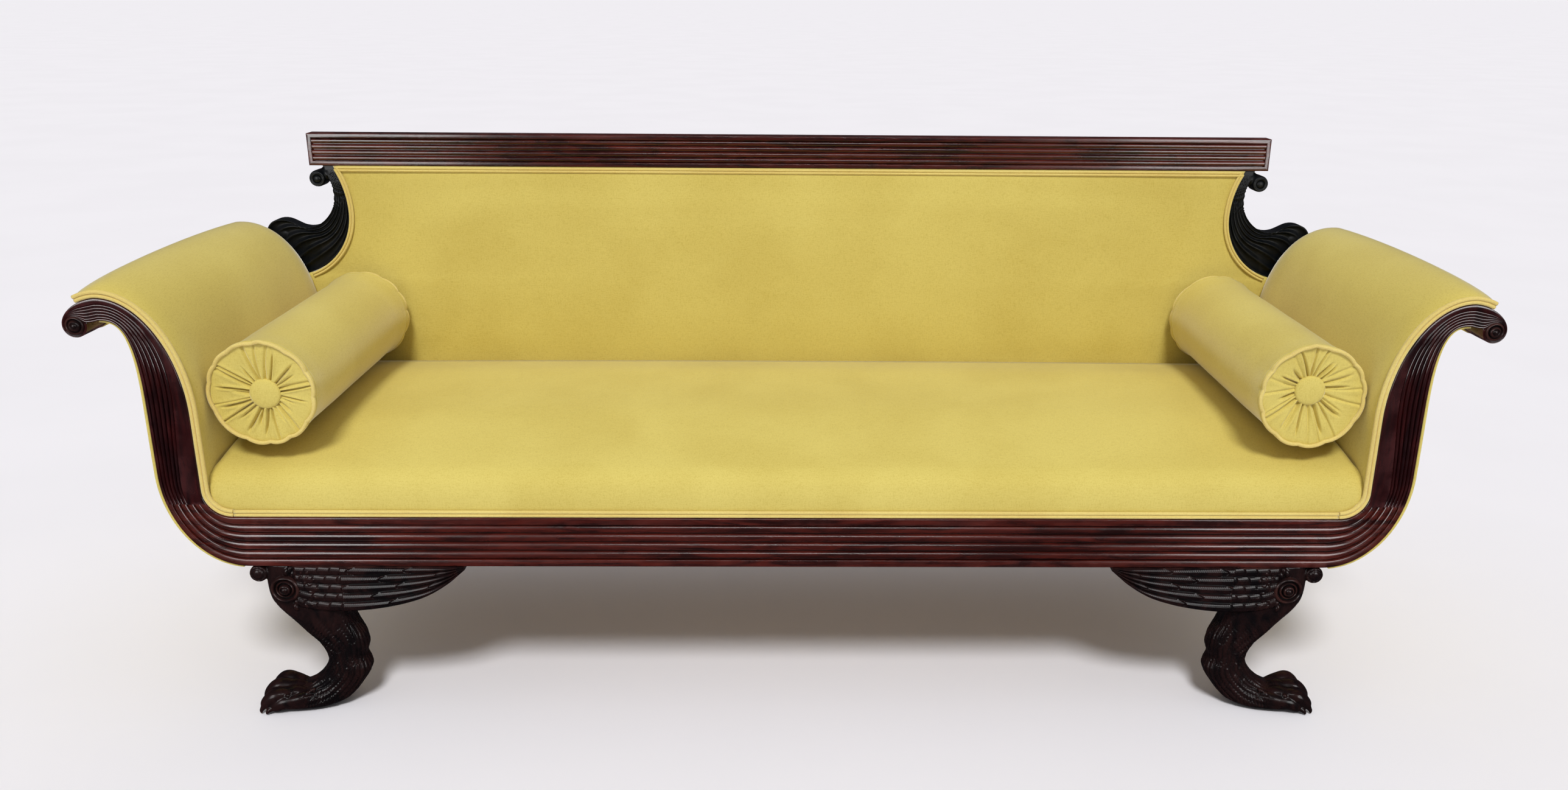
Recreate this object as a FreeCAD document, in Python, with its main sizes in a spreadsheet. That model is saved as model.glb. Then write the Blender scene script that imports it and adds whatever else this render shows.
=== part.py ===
import FreeCAD, Part
import os
from collections import namedtuple
from math import acos, asin, atan2, cos, degrees, hypot, radians, sin, sqrt

from FreeCAD import Vector

# Scroll arm sofa. X runs to the right, Y to the back and Z up, and the origin is at the
# floor under the middle of the whole. Depths are first measured back from the face of the
# front seat rail and then shifted so that the whole stands centred on the origin.

# Driving sizes in millimetres and plain counts or shares. A name that ends in _step is a
# place across the sofa, measured outward from the end of the front seat rail, a name that
# ends in _ahead is a depth, measured forward from the back of the frame, and a name that
# ends in _rise or _drop is a height above or below the part next to it.
SIZES = {
    # whole
    "overall_depth": 665.0,
    "paw_overhang": 20.0,
    "seat_clear": 0.3,
    # front seat rail, its corners and the reeding that runs through all of them
    "rail_top": 347.0,
    "rail_height": 85.0,
    "rail_thick": 38.0,
    "rail_half_length": 865.0,
    "reed_count": 4,
    "rail_flat": 12.5,
    "reed_round": 8.0,
    "field_depth": 6.0,
    "upper_flat_share": 0.2,
    # scroll arms
    "arm_inner_step": 62.0,
    "arm_outer_step": 125.0,
    "corner_round": 45.0,
    "corner_outer_height": 158.0,
    "corner_joint_rise": 22.0,
    "sweep_start_rise": 146.0,
    "sweep_top_step": 177.0,
    "sweep_rise": 187.0,
    "underside_top_step": 175.0,
    "underside_drop": 34.0,
    "underside_fullness": 3.0,
    "eye_step": 211.5,
    "eye_drop": 42.0,
    "eye_round": 18.5,
    "boss_round": 16.0,
    "boss_proud": 6.0,
    "roll_rail_round": 18.0,
    "rear_board_ahead": 75.0,
    "rear_board_thick": 26.5,
    "tacking_rail_width": 22.0,
    "tacking_rail_inset": 20.0,
    "tacking_rail_height": 40.0,
    # seat frame
    "rear_leg_splay": 26.0,
    "back_frame_thick": 32.0,
    "side_rail_step": 5.0,
    "side_rail_thick": 38.0,
    "side_rail_bottom": 275.0,
    "frame_top": 342.0,
    "stretcher_width": 44.0,
    "stretcher_height": 45.0,
    "stretcher_spacing": 430.0,
    "stretcher_count": 3,
    "corner_block_leg": 62.0,
    "corner_block_height": 62.0,
    # back frame and crest
    "crest_top": 883.0,
    "crest_height": 60.0,
    "crest_end_step": 53.0,
    "crest_ahead": 42.0,
    "crest_thick": 36.0,
    "crest_border": 9.0,
    "crest_reed_round": 5.6,
    "crest_field_depth": 4.6,
    "post_inner_step": -70.0,
    "bracket_waist_step": -15.0,
    "bracket_waist_z": 735.0,
    "bracket_lower_round": 125.0,
    "bracket_upper_round": 173.0,
    "bracket_ahead": 39.0,
    "bracket_thick": 27.0,
    "flute_count": 4,
    "flute_proud": 8.0,
    "flute_depth": 4.0,
    "flute_inset": 2.5,
    "ridge_crest": 0.45,
    "volute_step": 40.0,
    "volute_drop": 25.0,
    "volute_round": 15.0,
    "hollow_step": 65.0,
    "hollow_z": 756.0,
    "hollow_round": 51.0,
    "leaf_step": 124.0,
    "leaf_z": 693.0,
    "leaf_round": 27.0,
    "leaf_belly": 34.0,
    "leaf_belly_rise": 28.0,
    "saddle_rise": 18.0,
    "bracket_eye_round": 12.0,
    "bracket_eye_proud": 8.0,
    "back_rail_height": 55.0,
    "back_stile_width": 50.0,
    "back_stile_spacing": 516.0,
    # front legs
    "ankle_half_thick": 31.0,
    "wing_root_step": -165.0,
    "leg_top_outer_step": -20.0,
    "leg_front": 2.0,
    "leg_thick": 72.0,
    "paw_half_width": 33.0,
    "paw_middle": 13.0,
    "toe_count": 4,
    "toe_round": 12.0,
    "wing_tip_step": -342.0,
    "wing_thick": 30.0,
    "wing_proud": 8.0,
    "feather_count": 5,
    "feather_depth": 3.0,
    "rosette_step": -53.0,
    "rosette_z": 222.0,
    "rosette_round": 23.0,
    "rosette_proud": 12.0,
    "ball_step": -9.0,
    "ball_round": 15.0,
    "ball_length": 58.0,
    # rear legs
    "rear_leg_step": -27.0,
    "rear_leg_top": 56.0,
    "rear_leg_foot": 38.0,
    "rear_leg_setback": 4.0,
    # webbing and cloth
    "web_width": 50.0,
    "web_thick": 1.5,
    "web_margin": 30.0,
    "long_web_count": 5,
    "cross_web_count": 14,
    "back_web_count": 12,
    "cloth_thick": 1.4,
    "cloth_inset": 3.0,
    # upholstery
    "seat_front": 5.3,
    "seat_lip_rise": 28.0,
    "seat_shoulder_rise": 50.0,
    "seat_shoulder_depth": 52.0,
    "seat_crown_rise": 31.0,
    "seat_crown_fall": 4.0,
    "seat_rear_ahead": 53.0,
    "pad_front_thick": 8.0,
    "pad_low_thick": 11.4,
    "pad_top_thick": 20.0,
    "pad_end_thick": 3.0,
    "pad_rear_ahead": 48.5,
    "pad_full_depth": 70.0,
    "pad_gap": 0.5,
    "back_pad_ahead": 48.0,
    "back_crown": 13.0,
    "back_pad_bottom": 400.0,
    "welt_width": 10.0,
    "welt_depth": 5.0,
    "outside_thick": 4.0,
    # bolsters
    "bolster_round": 87.0,
    "bolster_rear_ahead": 79.0,
    "bolster_front": 40.0,
    "bolster_swell": 2.0,
    "pleat_count": 20,
    "pleat_rise": 3.0,
    "button_round": 25.0,
    "button_rise": 8.0,
    "piping_round": 3.2,
}

doc = FreeCAD.newDocument("scroll_arm_sofa")
sheet = doc.addObject("Spreadsheet::Sheet", "sizes")
for row, (alias, value) in enumerate(SIZES.items(), start=1):
    sheet.set(f"A{row}", alias)
    sheet.set(f"B{row}", str(value))
    sheet.setAlias(f"B{row}", alias)
doc.recompute()

NODES = []


def size(alias):
    """The value of one cell of the sheet."""
    return float(getattr(sheet, alias))


def count(alias):
    """A whole number from the sheet."""
    return int(round(size(alias)))


RAIL_FACE = "(sizes.paw_overhang - sizes.overall_depth / 2)"
FRAME_BACK = "(sizes.overall_depth - sizes.paw_overhang - sizes.rear_leg_splay)"
FACE_Y = size("paw_overhang") - size("overall_depth") / 2
FRAME_DEPTH = size("overall_depth") - size("paw_overhang") - size("rear_leg_splay")
CLEAR = size("seat_clear")
FULL_TURN = 360
JOINT_Z = size("rail_top") + size("corner_joint_rise")
SWEEP_Z = JOINT_Z + size("sweep_start_rise")
SWEEP_TOP_Z = SWEEP_Z + size("sweep_rise")
UNDERSIDE_Z = SWEEP_TOP_Z - size("underside_drop")
EYE_Z = SWEEP_TOP_Z - size("eye_drop")
LIP_Z = size("rail_top") + size("seat_lip_rise")
SHOULDER_Z = LIP_Z + size("seat_shoulder_rise")
CROWN_Z = SHOULDER_Z + size("seat_crown_rise")


def across(alias):
    """A place across the sofa, from its step beyond the end of the front seat rail."""
    return size("rail_half_length") + size(alias)


def across_at(alias):
    """The same place as an expression on the sheet."""
    return f"(sizes.rail_half_length + sizes.{alias})"


def ahead(alias):
    """A depth, from its distance in front of the back of the frame."""
    return FRAME_DEPTH - size(alias)


def ahead_at(alias):
    """The same depth as an expression on the sheet."""
    return f"({FRAME_BACK} - sizes.{alias})"


def keep(obj, label):
    """Take an object into the list of the sofa's pieces under its own name."""
    obj.Label = label
    NODES.append(obj)
    return obj


def shaped(label, shape):
    """A piece whose shape is worked out below; it is shifted from the rail's face."""
    feature = doc.addObject("Part::Feature", label)
    feature.Shape = shape
    feature.Placement = FreeCAD.Placement(Vector(0, FACE_Y, 0), FreeCAD.Rotation()) * shape.Placement
    return keep(feature, label)


def mirrored(source, label):
    """The left-hand twin of a right-hand piece."""
    twin = doc.addObject("Part::Mirroring", label)
    twin.Source = source
    twin.Normal = Vector(1, 0, 0)
    return keep(twin, label)


def pair(right):
    """Add the left-hand twin of a piece whose name starts with right_."""
    mirrored(right, right.Label.replace("right_", "left_", 1))


def bind(obj, prop, expression):
    """Tie a property to the sheet."""
    obj.setExpression(prop, expression)


def timber(label, length, width, height, x, y, z):
    """A squared timber; every size and place is an expression on the sheet."""
    made = doc.addObject("Part::Box", label)
    for prop, expression in (("Length", length), ("Width", width), ("Height", height)):
        bind(made, prop, expression)
    bind(made, "Placement.Base.x", x)
    bind(made, "Placement.Base.y", f"{RAIL_FACE} + {y}")
    bind(made, "Placement.Base.z", z)
    return made


def block(label, *sizes_and_place):
    """A squared timber that is a piece of its own."""
    return keep(timber(label, *sizes_and_place), label)


# Sketches of the rails that are worked with a plane
def sketch_on(body, role, name):
    """A sketch flat on one of the body's own origin planes."""
    plane = next(item for item in body.Origin.OriginFeatures if item.Role == role)
    sketch = body.newObject("Sketcher::SketchObject", name)
    sketch.AttachmentSupport = [(plane, "")]
    sketch.MapMode = "FlatFace"
    return sketch


def tie_point(sketch, geometry, point, across, up):
    """Hold one point of a sketch at two expressions."""
    import Sketcher

    for kind, expression in (("DistanceX", across), ("DistanceY", up)):
        index = sketch.addConstraint(Sketcher.Constraint(kind, -1, 1, geometry, point, 1.0))
        sketch.setExpression(f"Constraints[{index}]", expression)


# Radius of the ring on which the corners of an outline are first set down
ROUGH_ROUND = 50


def draw_outline(sketch, corners):
    """A closed outline of straight lines whose corners are pairs of expressions."""
    import Sketcher

    total = len(corners)
    rough = [
        Vector(2 * ROUGH_ROUND, 2 * ROUGH_ROUND, 0)
        + Vector(cos(radians(FULL_TURN * i / total)), sin(radians(FULL_TURN * i / total)), 0) * ROUGH_ROUND
        for i in range(total)
    ]
    for i in range(total):
        sketch.addGeometry(Part.LineSegment(rough[i], rough[(i + 1) % total]), False)
    for i in range(total):
        sketch.addConstraint(Sketcher.Constraint("Coincident", i, 2, (i + 1) % total, 1))
    for i, (across, up) in enumerate(corners):
        tie_point(sketch, i, 1, across, up)


def draw_circle(sketch, across, up, radius):
    """A circle whose centre and radius are expressions."""
    import Sketcher

    circle = sketch.addGeometry(Part.Circle(Vector(1, 1, 0), Vector(0, 0, 1), 3.0), False)
    tie_point(sketch, circle, 3, across, up)
    index = sketch.addConstraint(Sketcher.Constraint("Radius", circle, 3.0))
    sketch.setExpression(f"Constraints[{index}]", radius)


def extrude_both_ways(body, kind, name, sketch, length):
    """A pad or pocket, even about the sketch plane."""
    feature = body.newObject(kind, name)
    feature.Profile = sketch
    feature.SideType = "Symmetric"
    bind(feature, "Length", length)
    sketch.Visibility = False
    return feature


def reeded_board(label, half_length, thick, top, height, flat, field, field_length, reed, front):
    """A board with a sunk field of round reeds along its face."""
    body = doc.addObject("PartDesign::Body", label)
    low = f"({top} - {height})"
    outline = sketch_on(body, "YZ_Plane", f"{label}_outline")
    back = f"{front} + {thick}"
    draw_outline(outline, [(front, low), (back, low), (back, top), (front, top)])
    extrude_both_ways(body, "PartDesign::Pad", f"{label}_board", outline, f"2 * {half_length}")
    sunk = sketch_on(body, "YZ_Plane", f"{label}_field")
    depth = f"{front} + {field}"
    draw_outline(
        sunk,
        [
            (f"{front} - 1", f"{low} + {flat}"),
            (depth, f"{low} + {flat}"),
            (depth, f"{top} - {flat}"),
            (f"{front} - 1", f"{top} - {flat}"),
        ],
    )
    extrude_both_ways(body, "PartDesign::Pocket", f"{label}_sinking", sunk, field_length)
    pitch = f"(({height} - 2 * {flat}) / sizes.reed_count)"
    stick = sketch_on(body, "YZ_Plane", f"{label}_reed")
    draw_circle(stick, f"{front} + {reed}", f"{low} + {flat} + {pitch} / 2", reed)
    first = extrude_both_ways(body, "PartDesign::Pad", f"{label}_first_reed", stick, field_length)
    doc.recompute()
    row = body.newObject("PartDesign::LinearPattern", f"{label}_reeds")
    row.Originals = [first]
    row.Direction = (stick, ["V_Axis"])
    bind(row, "Length", f"{pitch} * (sizes.reed_count - 1)")
    bind(row, "Occurrences", "sizes.reed_count")
    body.Tip = row
    bind(body, "Placement.Base.y", RAIL_FACE)
    return keep(body, label)


front_seat_rail = reeded_board(
    "front_seat_rail",
    half_length="sizes.rail_half_length",
    thick="sizes.rail_thick",
    top="sizes.rail_top",
    height="sizes.rail_height",
    flat="sizes.rail_flat",
    field="sizes.field_depth",
    field_length="2 * sizes.rail_half_length",
    reed="sizes.reed_round",
    front="0",
)
crest_rail = reeded_board(
    "crest_rail",
    half_length=across_at("crest_end_step"),
    thick="sizes.crest_thick",
    top="sizes.crest_top",
    height="sizes.crest_height",
    flat="sizes.crest_border",
    field="sizes.crest_field_depth",
    field_length=f"2 * ({across_at('crest_end_step')} - sizes.crest_border)",
    reed="sizes.crest_reed_round",
    front=ahead_at("crest_ahead"),
)


# Curves of the scroll arm, right-hand side, as points (x, z)
def corner_inner(turn):
    """Inside of the rail's corner; turn runs from 0 at the rail to 90 at the arm."""
    radius = size("corner_round")
    angle = radians(turn)
    x = across("arm_inner_step") - radius + radius * sin(angle)
    return x, size("rail_top") + radius - radius * cos(angle)


def corner_outer(turn):
    """Outside of the rail's corner, an ellipse from the rail's foot to the arm."""
    angle = radians(turn)
    reach = across("arm_outer_step") - size("rail_half_length")
    rise = size("corner_outer_height")
    low = size("rail_top") - size("rail_height")
    return size("rail_half_length") + reach * sin(angle), low + rise - rise * cos(angle)


def sweep_inner(turn):
    """Upper edge of the arm's outward sweep; turn runs from 0 upright to 90 level."""
    angle = radians(turn)
    width = across("sweep_top_step") - across("arm_inner_step")
    height = SWEEP_TOP_Z - SWEEP_Z
    return across("sweep_top_step") - width * cos(angle), SWEEP_Z + height * sin(angle)


def sweep_outer(turn):
    """Underside of the sweep, fuller than an ellipse."""
    angle = radians(turn)
    power = 2.0 / size("underside_fullness")
    width = across("underside_top_step") - across("arm_outer_step")
    height = UNDERSIDE_Z - SWEEP_Z
    x = across("underside_top_step") - width * cos(angle) ** power
    return x, SWEEP_Z + height * sin(angle) ** power


eye = (across("eye_step"), EYE_Z)
SCROLL_START = degrees(atan2(SWEEP_TOP_Z - eye[1], across("sweep_top_step") - eye[0]))
SCROLL_END = -90.0
SCROLL_TIGHTENING = 5.8


def scroll(turn):
    """Spiral that closes the arm round its eye; turn is the angle about the eye."""
    start = hypot(across("sweep_top_step") - eye[0], SWEEP_TOP_Z - eye[1])
    share = max(turn - SCROLL_END, 0) / (SCROLL_START - SCROLL_END)
    radius = size("eye_round") + (start - size("eye_round")) * share**SCROLL_TIGHTENING
    angle = radians(turn)
    return eye[0] + radius * cos(angle), eye[1] + radius * sin(angle)


def offset(path, distances):
    """Points moved square to a path, to the left of its direction."""
    moved = []
    for i, (x, z) in enumerate(path):
        before = path[max(i - 1, 0)]
        after = path[min(i + 1, len(path) - 1)]
        along = hypot(after[0] - before[0], after[1] - before[1])
        distance = distances[i] if isinstance(distances, list) else distances
        moved.append(
            (x - distance * (after[1] - before[1]) / along, z + distance * (after[0] - before[0]) / along)
        )
    return moved


def spread(start, end, steps):
    """Evenly spaced values from start to end."""
    return [start + (end - start) * i / steps for i in range(steps + 1)]


def to_space(point, y):
    """A point of the (x, z) drawing at a depth."""
    return Vector(point[0], y, point[1])


def between(first, second, share):
    """A point part of the way between two points of the drawing."""
    return first[0] + (second[0] - first[0]) * share, first[1] + (second[1] - first[1]) * share


INNER_JOINT = degrees(acos(1 - (JOINT_Z - size("rail_top")) / size("corner_round")))
OUTER_RISE = JOINT_Z - size("rail_top") + size("rail_height")
OUTER_JOINT = degrees(acos(1 - OUTER_RISE / size("corner_outer_height")))
CORNER_STEPS = 4
SWEEP_STEPS = 7

# Matching points along the inside and the outside of the reeded band
corner_pairs = [((size("rail_half_length"), size("rail_top")), corner_outer(0))]
for inner_turn, outer_turn in zip(
    spread(0, INNER_JOINT, CORNER_STEPS), spread(OUTER_JOINT / (CORNER_STEPS + 1), OUTER_JOINT, CORNER_STEPS)
):
    corner_pairs.append((corner_inner(inner_turn), corner_outer(outer_turn)))
arm_pairs = [corner_pairs[-1]]
for inner_turn, outer_turn in zip(spread(INNER_JOINT, 90, 2)[1:], spread(OUTER_JOINT, 90, 2)[1:]):
    arm_pairs.append((corner_inner(inner_turn), corner_outer(outer_turn)))
middle_height = (SWEEP_Z + arm_pairs[-1][1][1]) / 2
arm_pairs.append(((across("arm_inner_step"), middle_height), (across("arm_outer_step"), middle_height)))
for turn in spread(0, 90, SWEEP_STEPS):
    arm_pairs.append((sweep_inner(turn), sweep_outer(turn)))


def reeded_section(inner, outer, front, back, upper_share, lower_share, reeds):
    """Section across the band: flats at both edges and round reeds between them."""
    width = hypot(outer[0] - inner[0], outer[1] - inner[1])
    step = (1 - upper_share - lower_share) / reeds
    rail_pitch = (size("rail_height") - 2 * size("rail_flat")) / size("reed_count")
    round_share = size("reed_round") / rail_pitch
    groove = front + width * step * (round_share - sqrt(round_share**2 - 0.25))
    at = lambda share, y: to_space(between(inner, outer, share), y)
    edges = [Part.LineSegment(at(0, front), at(upper_share, front))]
    edges.append(Part.LineSegment(at(upper_share, front), at(upper_share, groove)))
    for k in range(reeds):
        start = upper_share + k * step
        edges.append(Part.Arc(at(start, groove), at(start + step / 2, front), at(start + step, groove)))
    edges.append(Part.LineSegment(at(1 - lower_share, groove), at(1 - lower_share, front)))
    edges.append(Part.LineSegment(at(1 - lower_share, front), at(1, front)))
    edges.append(Part.LineSegment(at(1, front), at(1, back)))
    edges.append(Part.LineSegment(at(1, back), at(0, back)))
    edges.append(Part.LineSegment(at(0, back), at(0, front)))
    return Part.Wire([edge.toShape() for edge in edges])


def ridged_section(inner, outer, front, back, ridges, depth, crest):
    """Section of carved ridges with flat crests and hollows of one depth between them."""
    shares = [0.0]
    heights = [front + depth]
    for k in range(ridges):
        middle = (k + 0.5) / ridges
        shares += [middle - crest / 2 / ridges, middle + crest / 2 / ridges, (k + 1) / ridges]
        heights += [front, front, front + depth]
    points = [to_space(between(inner, outer, share), y) for share, y in zip(shares, heights)]
    return points + [to_space(outer, back), to_space(inner, back)]


def plain_section(inner, outer, front, back):
    """Corners of a rectangular section across a band."""
    return [to_space(inner, front), to_space(outer, front), to_space(outer, back), to_space(inner, back)]


def loft(sections):
    """A solid through sections, with straight runs between them."""
    return Part.makeLoft(sections, True, True)


def faceted(rings):
    """A carved or sewn form with flat facets through rings of as many corners each."""
    faces = [Part.Face(Part.makePolygon(ring + ring[:1])) for ring in (rings[0], rings[-1])]
    for ring, following in zip(rings, rings[1:]):
        for i in range(len(ring)):
            j = (i + 1) % len(ring)
            for corners in ((ring[i], ring[j], following[j]), (ring[i], following[j], following[i])):
                faces.append(Part.Face(Part.makePolygon([*corners, corners[0]])))
    solid = Part.Solid(Part.Shell(faces))
    if solid.Volume < 0:
        solid.reverse()
    return solid.removeSplitter()


def flat_face(edges):
    """A plane face inside a closed run of curves."""
    return Part.Face(Part.Wire([edge.toShape() for edge in edges]))


def polyline(points, y):
    """Straight edges through points of the drawing, at a depth."""
    return [Part.LineSegment(to_space(a, y), to_space(b, y)) for a, b in zip(points, points[1:])]


def about(centre, radius, turn):
    """A point on a circle of the drawing."""
    angle = radians(turn)
    return centre[0] + radius * cos(angle), centre[1] + radius * sin(angle)


def arc(points, y):
    """An arc through three points of the drawing, at a depth."""
    return Part.Arc(*[to_space(point, y) for point in points])


def revolved(outline):
    """A closed outline of (radius, depth) points turned about an axis along Y."""
    points = [Vector(radius, y, 0) for radius, y in outline + outline[:1]]
    return Part.Face(Part.makePolygon(points)).revolve(Vector(0, 0, 0), Vector(0, 1, 0), FULL_TURN)


def both_sides(shape):
    """A right-hand shape together with its left-hand twin."""
    return Part.makeCompound([shape, shape.mirror(Vector(0, 0, 0), Vector(1, 0, 0))])


def meeting(points, x):
    """Where a run of points crosses a given x."""
    for a, b in zip(points, points[1:]):
        if a[0] <= x < b[0]:
            return between(a, b, (x - a[0]) / (b[0] - a[0]))
    return points[0]


inner_run = [inner for inner, outer in corner_pairs + arm_pairs[1:]]
outer_run = [outer for inner, outer in corner_pairs + arm_pairs[1:]]
low = size("rail_top") - size("rail_height")
rail_thick = size("rail_thick")
flat_share = size("rail_flat") / size("rail_height")
reeds = count("reed_count")
right_corner = shaped(
    "right_rail_corner",
    loft([reeded_section(a, b, 0, rail_thick, flat_share, flat_share, reeds) for a, b in corner_pairs]),
)
pair(right_corner)

# The scroll's end stands on the last section of the band and curls round the eye
SCROLL_STEPS = 13
SCROLL_TAIL = -180.0
under_end = outer_run[-1]


def scroll_edges(y):
    """The curl of the arm from the top of the sweep round to its underside."""
    curl = Part.BSplineCurve()
    curl.interpolate([to_space(scroll(turn), y) for turn in spread(SCROLL_START, SCROLL_TAIL, SCROLL_STEPS)])
    return [curl, Part.LineSegment(to_space(scroll(SCROLL_TAIL), y), to_space(under_end, y))]


arm_sections = []
for i, (a, b) in enumerate(arm_pairs):
    share = i / (len(arm_pairs) - 1)
    upper = flat_share + (size("upper_flat_share") - flat_share) * share
    arm_sections.append(reeded_section(a, b, 0, rail_thick, upper, flat_share, reeds))
scroll_closing = [Part.LineSegment(to_space(under_end, 0), to_space(scroll(SCROLL_START), 0))]
scroll_end = flat_face(scroll_edges(0) + scroll_closing).extrude(Vector(0, rail_thick, 0))
pair(shaped("right_arm_facing", loft(arm_sections).fuse(scroll_end).removeSplitter()))

# Turned ornaments: an outer ring, a hollow and a domed middle, as shares of radius and height
RING_PROFILE = [(0.0, 0.0), (1.0, 0.0), (1.0, 0.55), (0.86, 0.9), (0.7, 0.35), (0.6, 0.25)]
DOME_PROFILE = [(0.52, 0.6), (0.3, 0.9), (0.0, 1.0)]


def turned(radius, proud, centre, y):
    """A turned ornament that stands forward of a face at a depth."""
    outline = [(share * radius, -rise * proud) for share, rise in RING_PROFILE + DOME_PROFILE]
    solid = revolved(outline)
    solid.translate(to_space(centre, y))
    return solid


shaped("scroll_bosses", both_sides(turned(size("boss_round"), size("boss_proud"), eye, 0)))

# Boards at the back of the arms, sawn to the same outline as the facings
rear_front = ahead("rear_board_ahead")
side_outer = across("side_rail_step") + size("side_rail_thick")
rear_inner = [meeting(inner_run, side_outer)] + [point for point in inner_run if point[0] > side_outer]
rear_outer = [meeting(outer_run, side_outer)] + [point for point in outer_run if point[0] > side_outer]
rear_outline = polyline(rear_inner, rear_front) + scroll_edges(rear_front)
rear_outline += polyline(rear_outer[::-1] + rear_inner[:1], rear_front)
rear_board = flat_face(rear_outline).extrude(Vector(0, size("rear_board_thick"), 0))
pair(shaped("right_rear_arm_board", rear_board))

# Rails that join the facing of each arm to the board at its back
depth_between = f"{ahead_at('rear_board_ahead')} - sizes.rail_thick"
back_depth = f"({FRAME_BACK} - sizes.back_frame_thick)"
side_rail_at = across_at("side_rail_step")
tack_in = f"{across_at('arm_inner_step')} + sizes.tacking_rail_inset"
arm_rises = "sizes.corner_joint_rise + sizes.sweep_start_rise + sizes.sweep_rise"
eye_at = f"sizes.rail_top + {arm_rises} - sizes.eye_drop"
for side, prefix in ((1, "right"), (-1, "left")):
    roll = doc.addObject("Part::Cylinder", f"{prefix}_arm_roll_rail")
    bind(roll, "Radius", "sizes.roll_rail_round")
    bind(roll, "Height", depth_between)
    roll.Placement.Rotation = FreeCAD.Rotation(Vector(1, 0, 0), -90)
    bind(roll, "Placement.Base.x", f"{side} * {across_at('eye_step')}")
    bind(roll, "Placement.Base.y", f"{RAIL_FACE} + sizes.rail_thick")
    bind(roll, "Placement.Base.z", eye_at)
    keep(roll, f"{prefix}_arm_roll_rail")
    block(
        f"{prefix}_arm_tacking_rail",
        "sizes.tacking_rail_width",
        depth_between,
        "sizes.tacking_rail_height",
        tack_in if side == 1 else f"-({tack_in}) - sizes.tacking_rail_width",
        "sizes.rail_thick",
        "sizes.rail_top + sizes.corner_round",
    )
    block(
        f"{prefix}_side_seat_rail",
        "sizes.side_rail_thick",
        f"{back_depth} - sizes.rail_thick",
        "sizes.frame_top - sizes.side_rail_bottom",
        side_rail_at if side == 1 else f"-{side_rail_at} - sizes.side_rail_thick",
        "sizes.rail_thick",
        "sizes.side_rail_bottom",
    )
rail_bottom = "(sizes.rail_top - sizes.rail_height)"
upper_at = "sizes.crest_top - sizes.crest_height - sizes.back_rail_height"
post_at = across_at("post_inner_step")
back_thick = "sizes.back_frame_thick"
for label, height, at_height in (
    ("back_seat_rail", f"sizes.frame_top - {rail_bottom}", rail_bottom),
    ("back_lower_rail", "sizes.back_rail_height", "sizes.back_pad_bottom"),
    ("back_upper_rail", "sizes.back_rail_height", upper_at),
):
    block(label, f"2 * {post_at}", back_thick, height, f"-{post_at}", back_depth, at_height)

# Back posts are sawn to the curve that the carved brackets are scribed against
back_front = FRAME_DEPTH - size("back_frame_thick")
crest_low = size("crest_top") - size("crest_height")
waist = (across("bracket_waist_step"), size("bracket_waist_z"))
lower_round = size("bracket_lower_round")
upper_round = size("bracket_upper_round")


def curve_at_height(height, inset=0.0):
    """The bracket's inside edge above its waist, moved inward by the inset."""
    run = sqrt((upper_round + inset) ** 2 - (height - waist[1]) ** 2)
    return waist[0] + upper_round - run, height


def curve_below(turn, inset=0.0):
    """The bracket's inside edge below its waist; turn is 0 there and 90 at its foot."""
    return about((waist[0] + lower_round, waist[1]), lower_round + inset, FULL_TURN / 2 + turn)


def inner_curve(y, end_turn, inset=0.0):
    """Arcs of that edge from the crest down to a turn below the waist."""
    top = crest_low - inset
    middle = curve_below(0, inset)
    above = [curve_at_height(top, inset), curve_at_height((top + waist[1]) / 2, inset), middle]
    below = [middle, curve_below(end_turn / 2, inset), curve_below(end_turn, inset)]
    return [arc(above, y), arc(below, y)]


post_turn = degrees(acos(1 - (side_outer - waist[0]) / lower_round))
neck = curve_at_height(crest_low)
post_corners = [curve_below(post_turn), (side_outer, low), (across("post_inner_step"), low)]
post_corners += [(across("post_inner_step"), crest_low), neck]
post_outline = inner_curve(back_front, post_turn) + polyline(post_corners, back_front)
pair(shaped("right_back_post", flat_face(post_outline).extrude(Vector(0, size("back_frame_thick"), 0))))

# Carved bracket: a sawn scroll with a leaf whose flutes are raised on its face
bracket_front = ahead("bracket_ahead")
volute = (across("volute_step"), crest_low - size("volute_drop"))
volute_round = size("volute_round")
hollow = (across("hollow_step"), size("hollow_z"))
hollow_round = size("hollow_round")
leaf = (across("leaf_step"), size("leaf_z"))
leaf_round = size("leaf_round")
VOLUTE_TURNS = (215, -60, 45)
HOLLOW_TURNS = (-80, -150, 148)
LEAF_TURNS = (-10, 60, 125)


def bracket_outline(y):
    """Closed outline of the scroll bracket at a depth."""
    foot = curve_below(90)
    lobe = [about(leaf, leaf_round, turn) for turn in LEAF_TURNS]
    cove = [about(hollow, hollow_round, turn) for turn in HOLLOW_TURNS]
    curl = [about(volute, volute_round, turn) for turn in VOLUTE_TURNS]
    belly = (foot[0] + size("leaf_belly"), foot[1] + size("leaf_belly_rise"))
    saddle = ((hollow[0] + leaf[0]) / 2, leaf[1] + size("saddle_rise"))
    return inner_curve(y, 90) + [
        arc([foot, belly, lobe[0]], y),
        arc(lobe, y),
        arc([lobe[-1], saddle, cove[0]], y),
        arc(cove, y),
        *polyline([cove[-1], curl[0]], y),
        arc(curl, y),
        *polyline([curl[-1], (curl[-1][0], crest_low), neck], y),
    ]


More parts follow.
